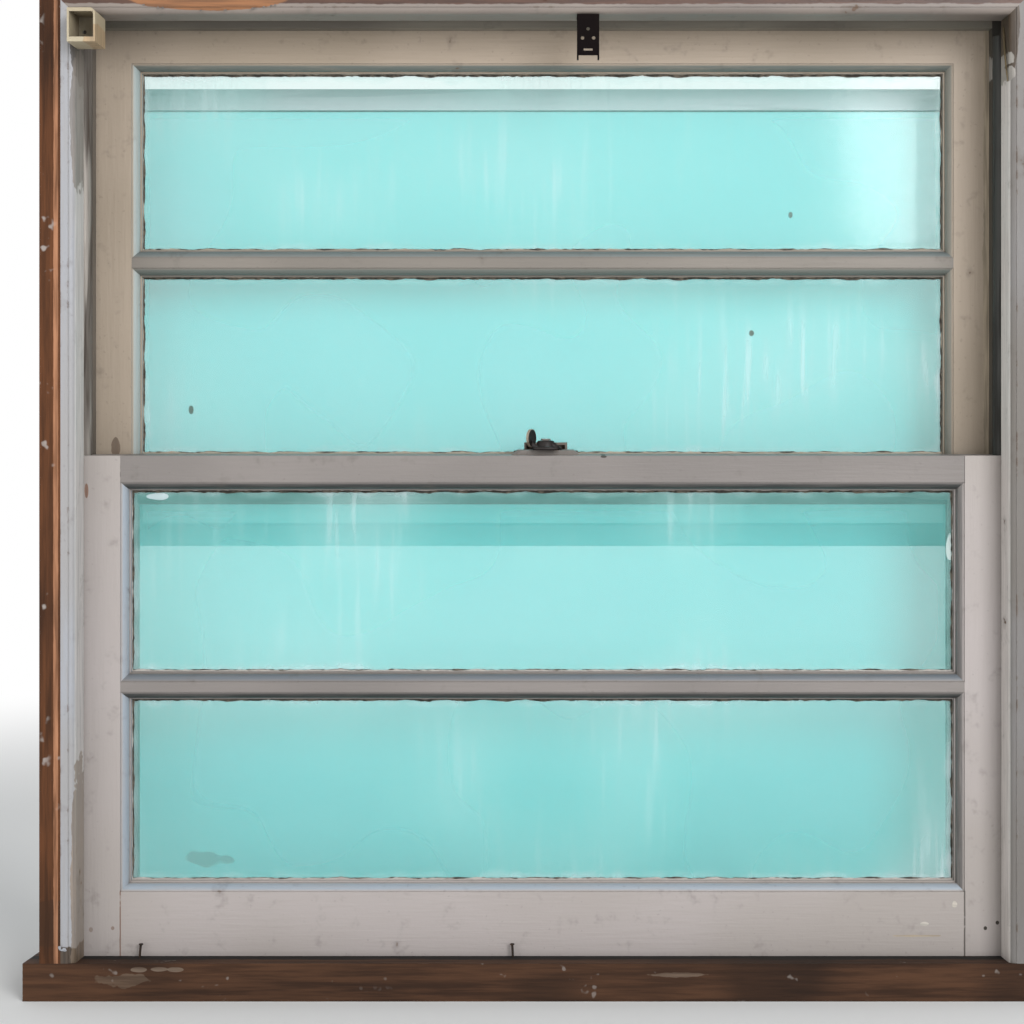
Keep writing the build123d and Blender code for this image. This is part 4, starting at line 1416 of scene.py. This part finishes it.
@dataclass
class Studio:
    """Floor, lamps, white surroundings and camera.

    Attributes:
        eye: place of the camera.
        lens: its focal length in millimetres, on a sensor 36 mm wide.
        shift: how far its picture is shifted right and up, as shares of its width.
        aim: what the lamps face.
        soft: strength of the surroundings as a light.
        fade: squared distances between which the floor turns into the surroundings.
    """

    eye: Point = (0.0023, -1.8, 0.548)
    lens: float = 69.2
    shift: tuple[float, float] = (-0.0322, -0.119)
    aim: Point = (0.0, 0.0, 0.45)
    soft: float = 0.55
    fade: tuple[float, float] = (0.5, 4.0)

    def build(self) -> None:
        """Sets up the picture."""
        self.camera()
        self.floor()
        self.lamps()
        self.surroundings()
        cycles = bpy.context.scene.cycles
        cycles.max_bounces = 3
        cycles.diffuse_bounces = 1
        cycles.glossy_bounces = 1
        cycles.use_light_tree = False
        bpy.context.scene.view_settings.view_transform = "Standard"

    def camera(self) -> None:
        """Places the camera where the photograph was taken from."""
        data = bpy.data.cameras.new("camera")
        data.lens = self.lens
        data.sensor_width = 36.0
        data.shift_x, data.shift_y = self.shift
        data.clip_end = 60.0
        made = bpy.data.objects.new("camera", data)
        made.location = self.eye
        made.rotation_euler = (math.pi / 2, 0, 0)
        bpy.context.scene.collection.objects.link(made)
        bpy.context.scene.camera = made

    def floor(self) -> None:
        """Lays a pale floor that fades into the white surroundings."""
        mesh = bmesh.new()
        bmesh.ops.create_grid(mesh, x_segments=4, y_segments=4, size=12.0)
        made = solid_object("floor", mesh)
        recipe = Recipe("floor_surface")
        x, y, z = recipe.along(recipe.place())
        away = (x * x + y * y).rise(*self.fade)
        boards = {"Base Color": (0.86, 0.86, 0.85), "Roughness": 0.9}
        pale = recipe.node("ShaderNodeBsdfPrincipled", {}, boards)
        white = recipe.node("ShaderNodeEmission", {}, {"Color": (1.0, 1.0, 1.0), "Strength": 1.0})
        mixed = recipe.node("ShaderNodeMixShader", {}, {0: away, 1: pale, 2: white})
        recipe.node("ShaderNodeOutputMaterial", {}, {"Surface": mixed})
        made.data.materials.append(recipe.owner)

    def lamps(self) -> None:
        """Hangs the soft lamps."""
        self.lamp("key", (1.5, -3.1, 1.7), 1.6, 84.0, (0.99, 0.99, 1.0))
        self.lamp("fill", (-2.2, -2.7, 0.7), 2.2, 28.0, (1.0, 0.98, 0.95))

    def lamp(self, name: str, place: Point, size: float, power: float, colour: Colour) -> None:
        """Hangs one square lamp.

        Args:
            name: its name.
            place: where it hangs.
            size: length of its sides.
            power: its power in watts.
            colour: its light.
        """
        data = bpy.data.lights.new(name, "AREA")
        data.size = size
        data.energy = power
        data.color = colour
        made = bpy.data.objects.new(name, data)
        made.location = place
        way = Vector(self.aim) - Vector(place)
        made.rotation_euler = way.to_track_quat("-Z", "Y").to_euler()
        bpy.context.scene.collection.objects.link(made)

    def surroundings(self) -> None:
        """Makes what is round the window white to look at and softer as a light."""
        world = Recipe("surroundings", bpy.data.worlds)
        seen = 0.0
        for ray in ("Is Camera Ray", "Is Transmission Ray", "Is Glossy Ray"):
            seen = world.node("ShaderNodeLightPath", output=ray).most(seen)
        soft = world.node("ShaderNodeBackground", {}, {"Color": (0.95, 0.98, 1.0), "Strength": self.soft})
        white = world.node("ShaderNodeBackground", {}, {"Color": (1.0, 1.0, 1.0), "Strength": 1.0})
        mixed = world.node("ShaderNodeMixShader", {}, {0: seen, 1: soft, 2: white})
        world.node("ShaderNodeOutputWorld", {}, {"Surface": mixed})
        bpy.context.scene.world = world.owner


def upper_sash() -> Sash:
    """The sash that hangs behind, in beige, with bare streaks on its stiles and specks on its panes."""
    bare = (
        Patch(0.4315, 0.66, 0.0172, 0.9, (0.44, 0.36, 0.26), 0.16),
        Patch(-0.4010, 0.4950, 0.0040, 0.0090, (0.12, 0.07, 0.04), 0.7, 0.7),
        Patch(-0.4150, 0.4720, 0.0050, 0.0100, (0.14, 0.09, 0.05), 0.9, 0.6),
    )
    leaf = (0.05, 0.06, 0.03)
    specks = (
        Patch(-0.333, 0.5290, 0.0022, 0.0040, leaf, 0.4, 0.9),
        Patch(0.2350, 0.7140, 0.0020, 0.0030, leaf, 0.4, 0.9),
        Patch(0.1980, 0.6020, 0.0020, 0.0024, leaf, 0.4, 0.9),
    )
    return Sash(
        "upper", "top_rail",
        paint=(0.43, 0.35, 0.27), aged=(0.37, 0.30, 0.225), cool=(0.34, 0.42, 0.42),
        shaded=(0.13, 0.15, 0.135), bars=(0.235, 0.21, 0.18), edge_paint=(0.36, 0.33, 0.26), haze=0.45,
        seed=11.0, patches=bare, marks=specks,
    )


def lower_sash() -> Sash:
    """The sash in front, in off-white, cracked over its joints, with chips, drips and smears."""
    dark = (0.04, 0.03, 0.02)
    chipped = (
        Patch(-0.4170, 0.4560, 0.0016, 0.0060, (0.22, 0.09, 0.04), 0.5, 0.8),
        Patch(-0.3930, 0.0560, 0.0014, 0.0016, (0.20, 0.10, 0.05), 0.6, 0.6),
        Patch(-0.4130, 0.0545, 0.0016, 0.0020, (0.20, 0.12, 0.07), 0.6, 0.5),
        Patch(0.4050, 0.0560, 0.0016, 0.0018, dark, 0.2),
        Patch(0.4160, 0.0610, 0.0016, 0.0018, dark, 0.2),
        Patch(0.3490, 0.0600, 0.0040, 0.0018, (0.58, 0.54, 0.48), 0.8),
        Patch(0.3770, 0.0780, 0.0025, 0.0030, (0.60, 0.55, 0.48), 0.8),
        Patch(0.3430, 0.0490, 0.0200, 0.0010, (0.50, 0.40, 0.26), 1.1, 0.7),
        Patch(0.0560, 0.4872, 0.0028, 0.0011, (0.05, 0.04, 0.03), 0.5),
    )
    smears = (
        Patch(-0.311, 0.1150, 0.0200, 0.0070, (0.09, 0.11, 0.10), 1.3, 0.55),
        Patch(0.3760, 0.4050, 0.0050, 0.0140, (0.70, 0.78, 0.76), 0.5, 0.8),
        Patch(-0.355, 0.4500, 0.0100, 0.0032, (0.60, 0.68, 0.72), 0.6, 0.8),
    )
    return Sash(
        "lower", "bottom_rail",
        paint=(0.43, 0.385, 0.37), aged=(0.38, 0.34, 0.315), cool=(0.29, 0.345, 0.40),
        shaded=(0.04, 0.043, 0.042), bars=(0.245, 0.22, 0.205), edge_paint=(0.46, 0.43, 0.39), haze=0.5,
        seed=23.0, cracked=True, patches=chipped, marks=smears,
    )


def main() -> None:
    """Builds the window's parts in order."""
    logging.basicConfig(level=logging.INFO, format="%(message)s")
    parts = (WindowFrame(), Balances(), upper_sash(), lower_sash(), SashLock(), StormWindow(), Studio())
    for part in parts:
        part.build()


if __name__ == "__main__":
    main()
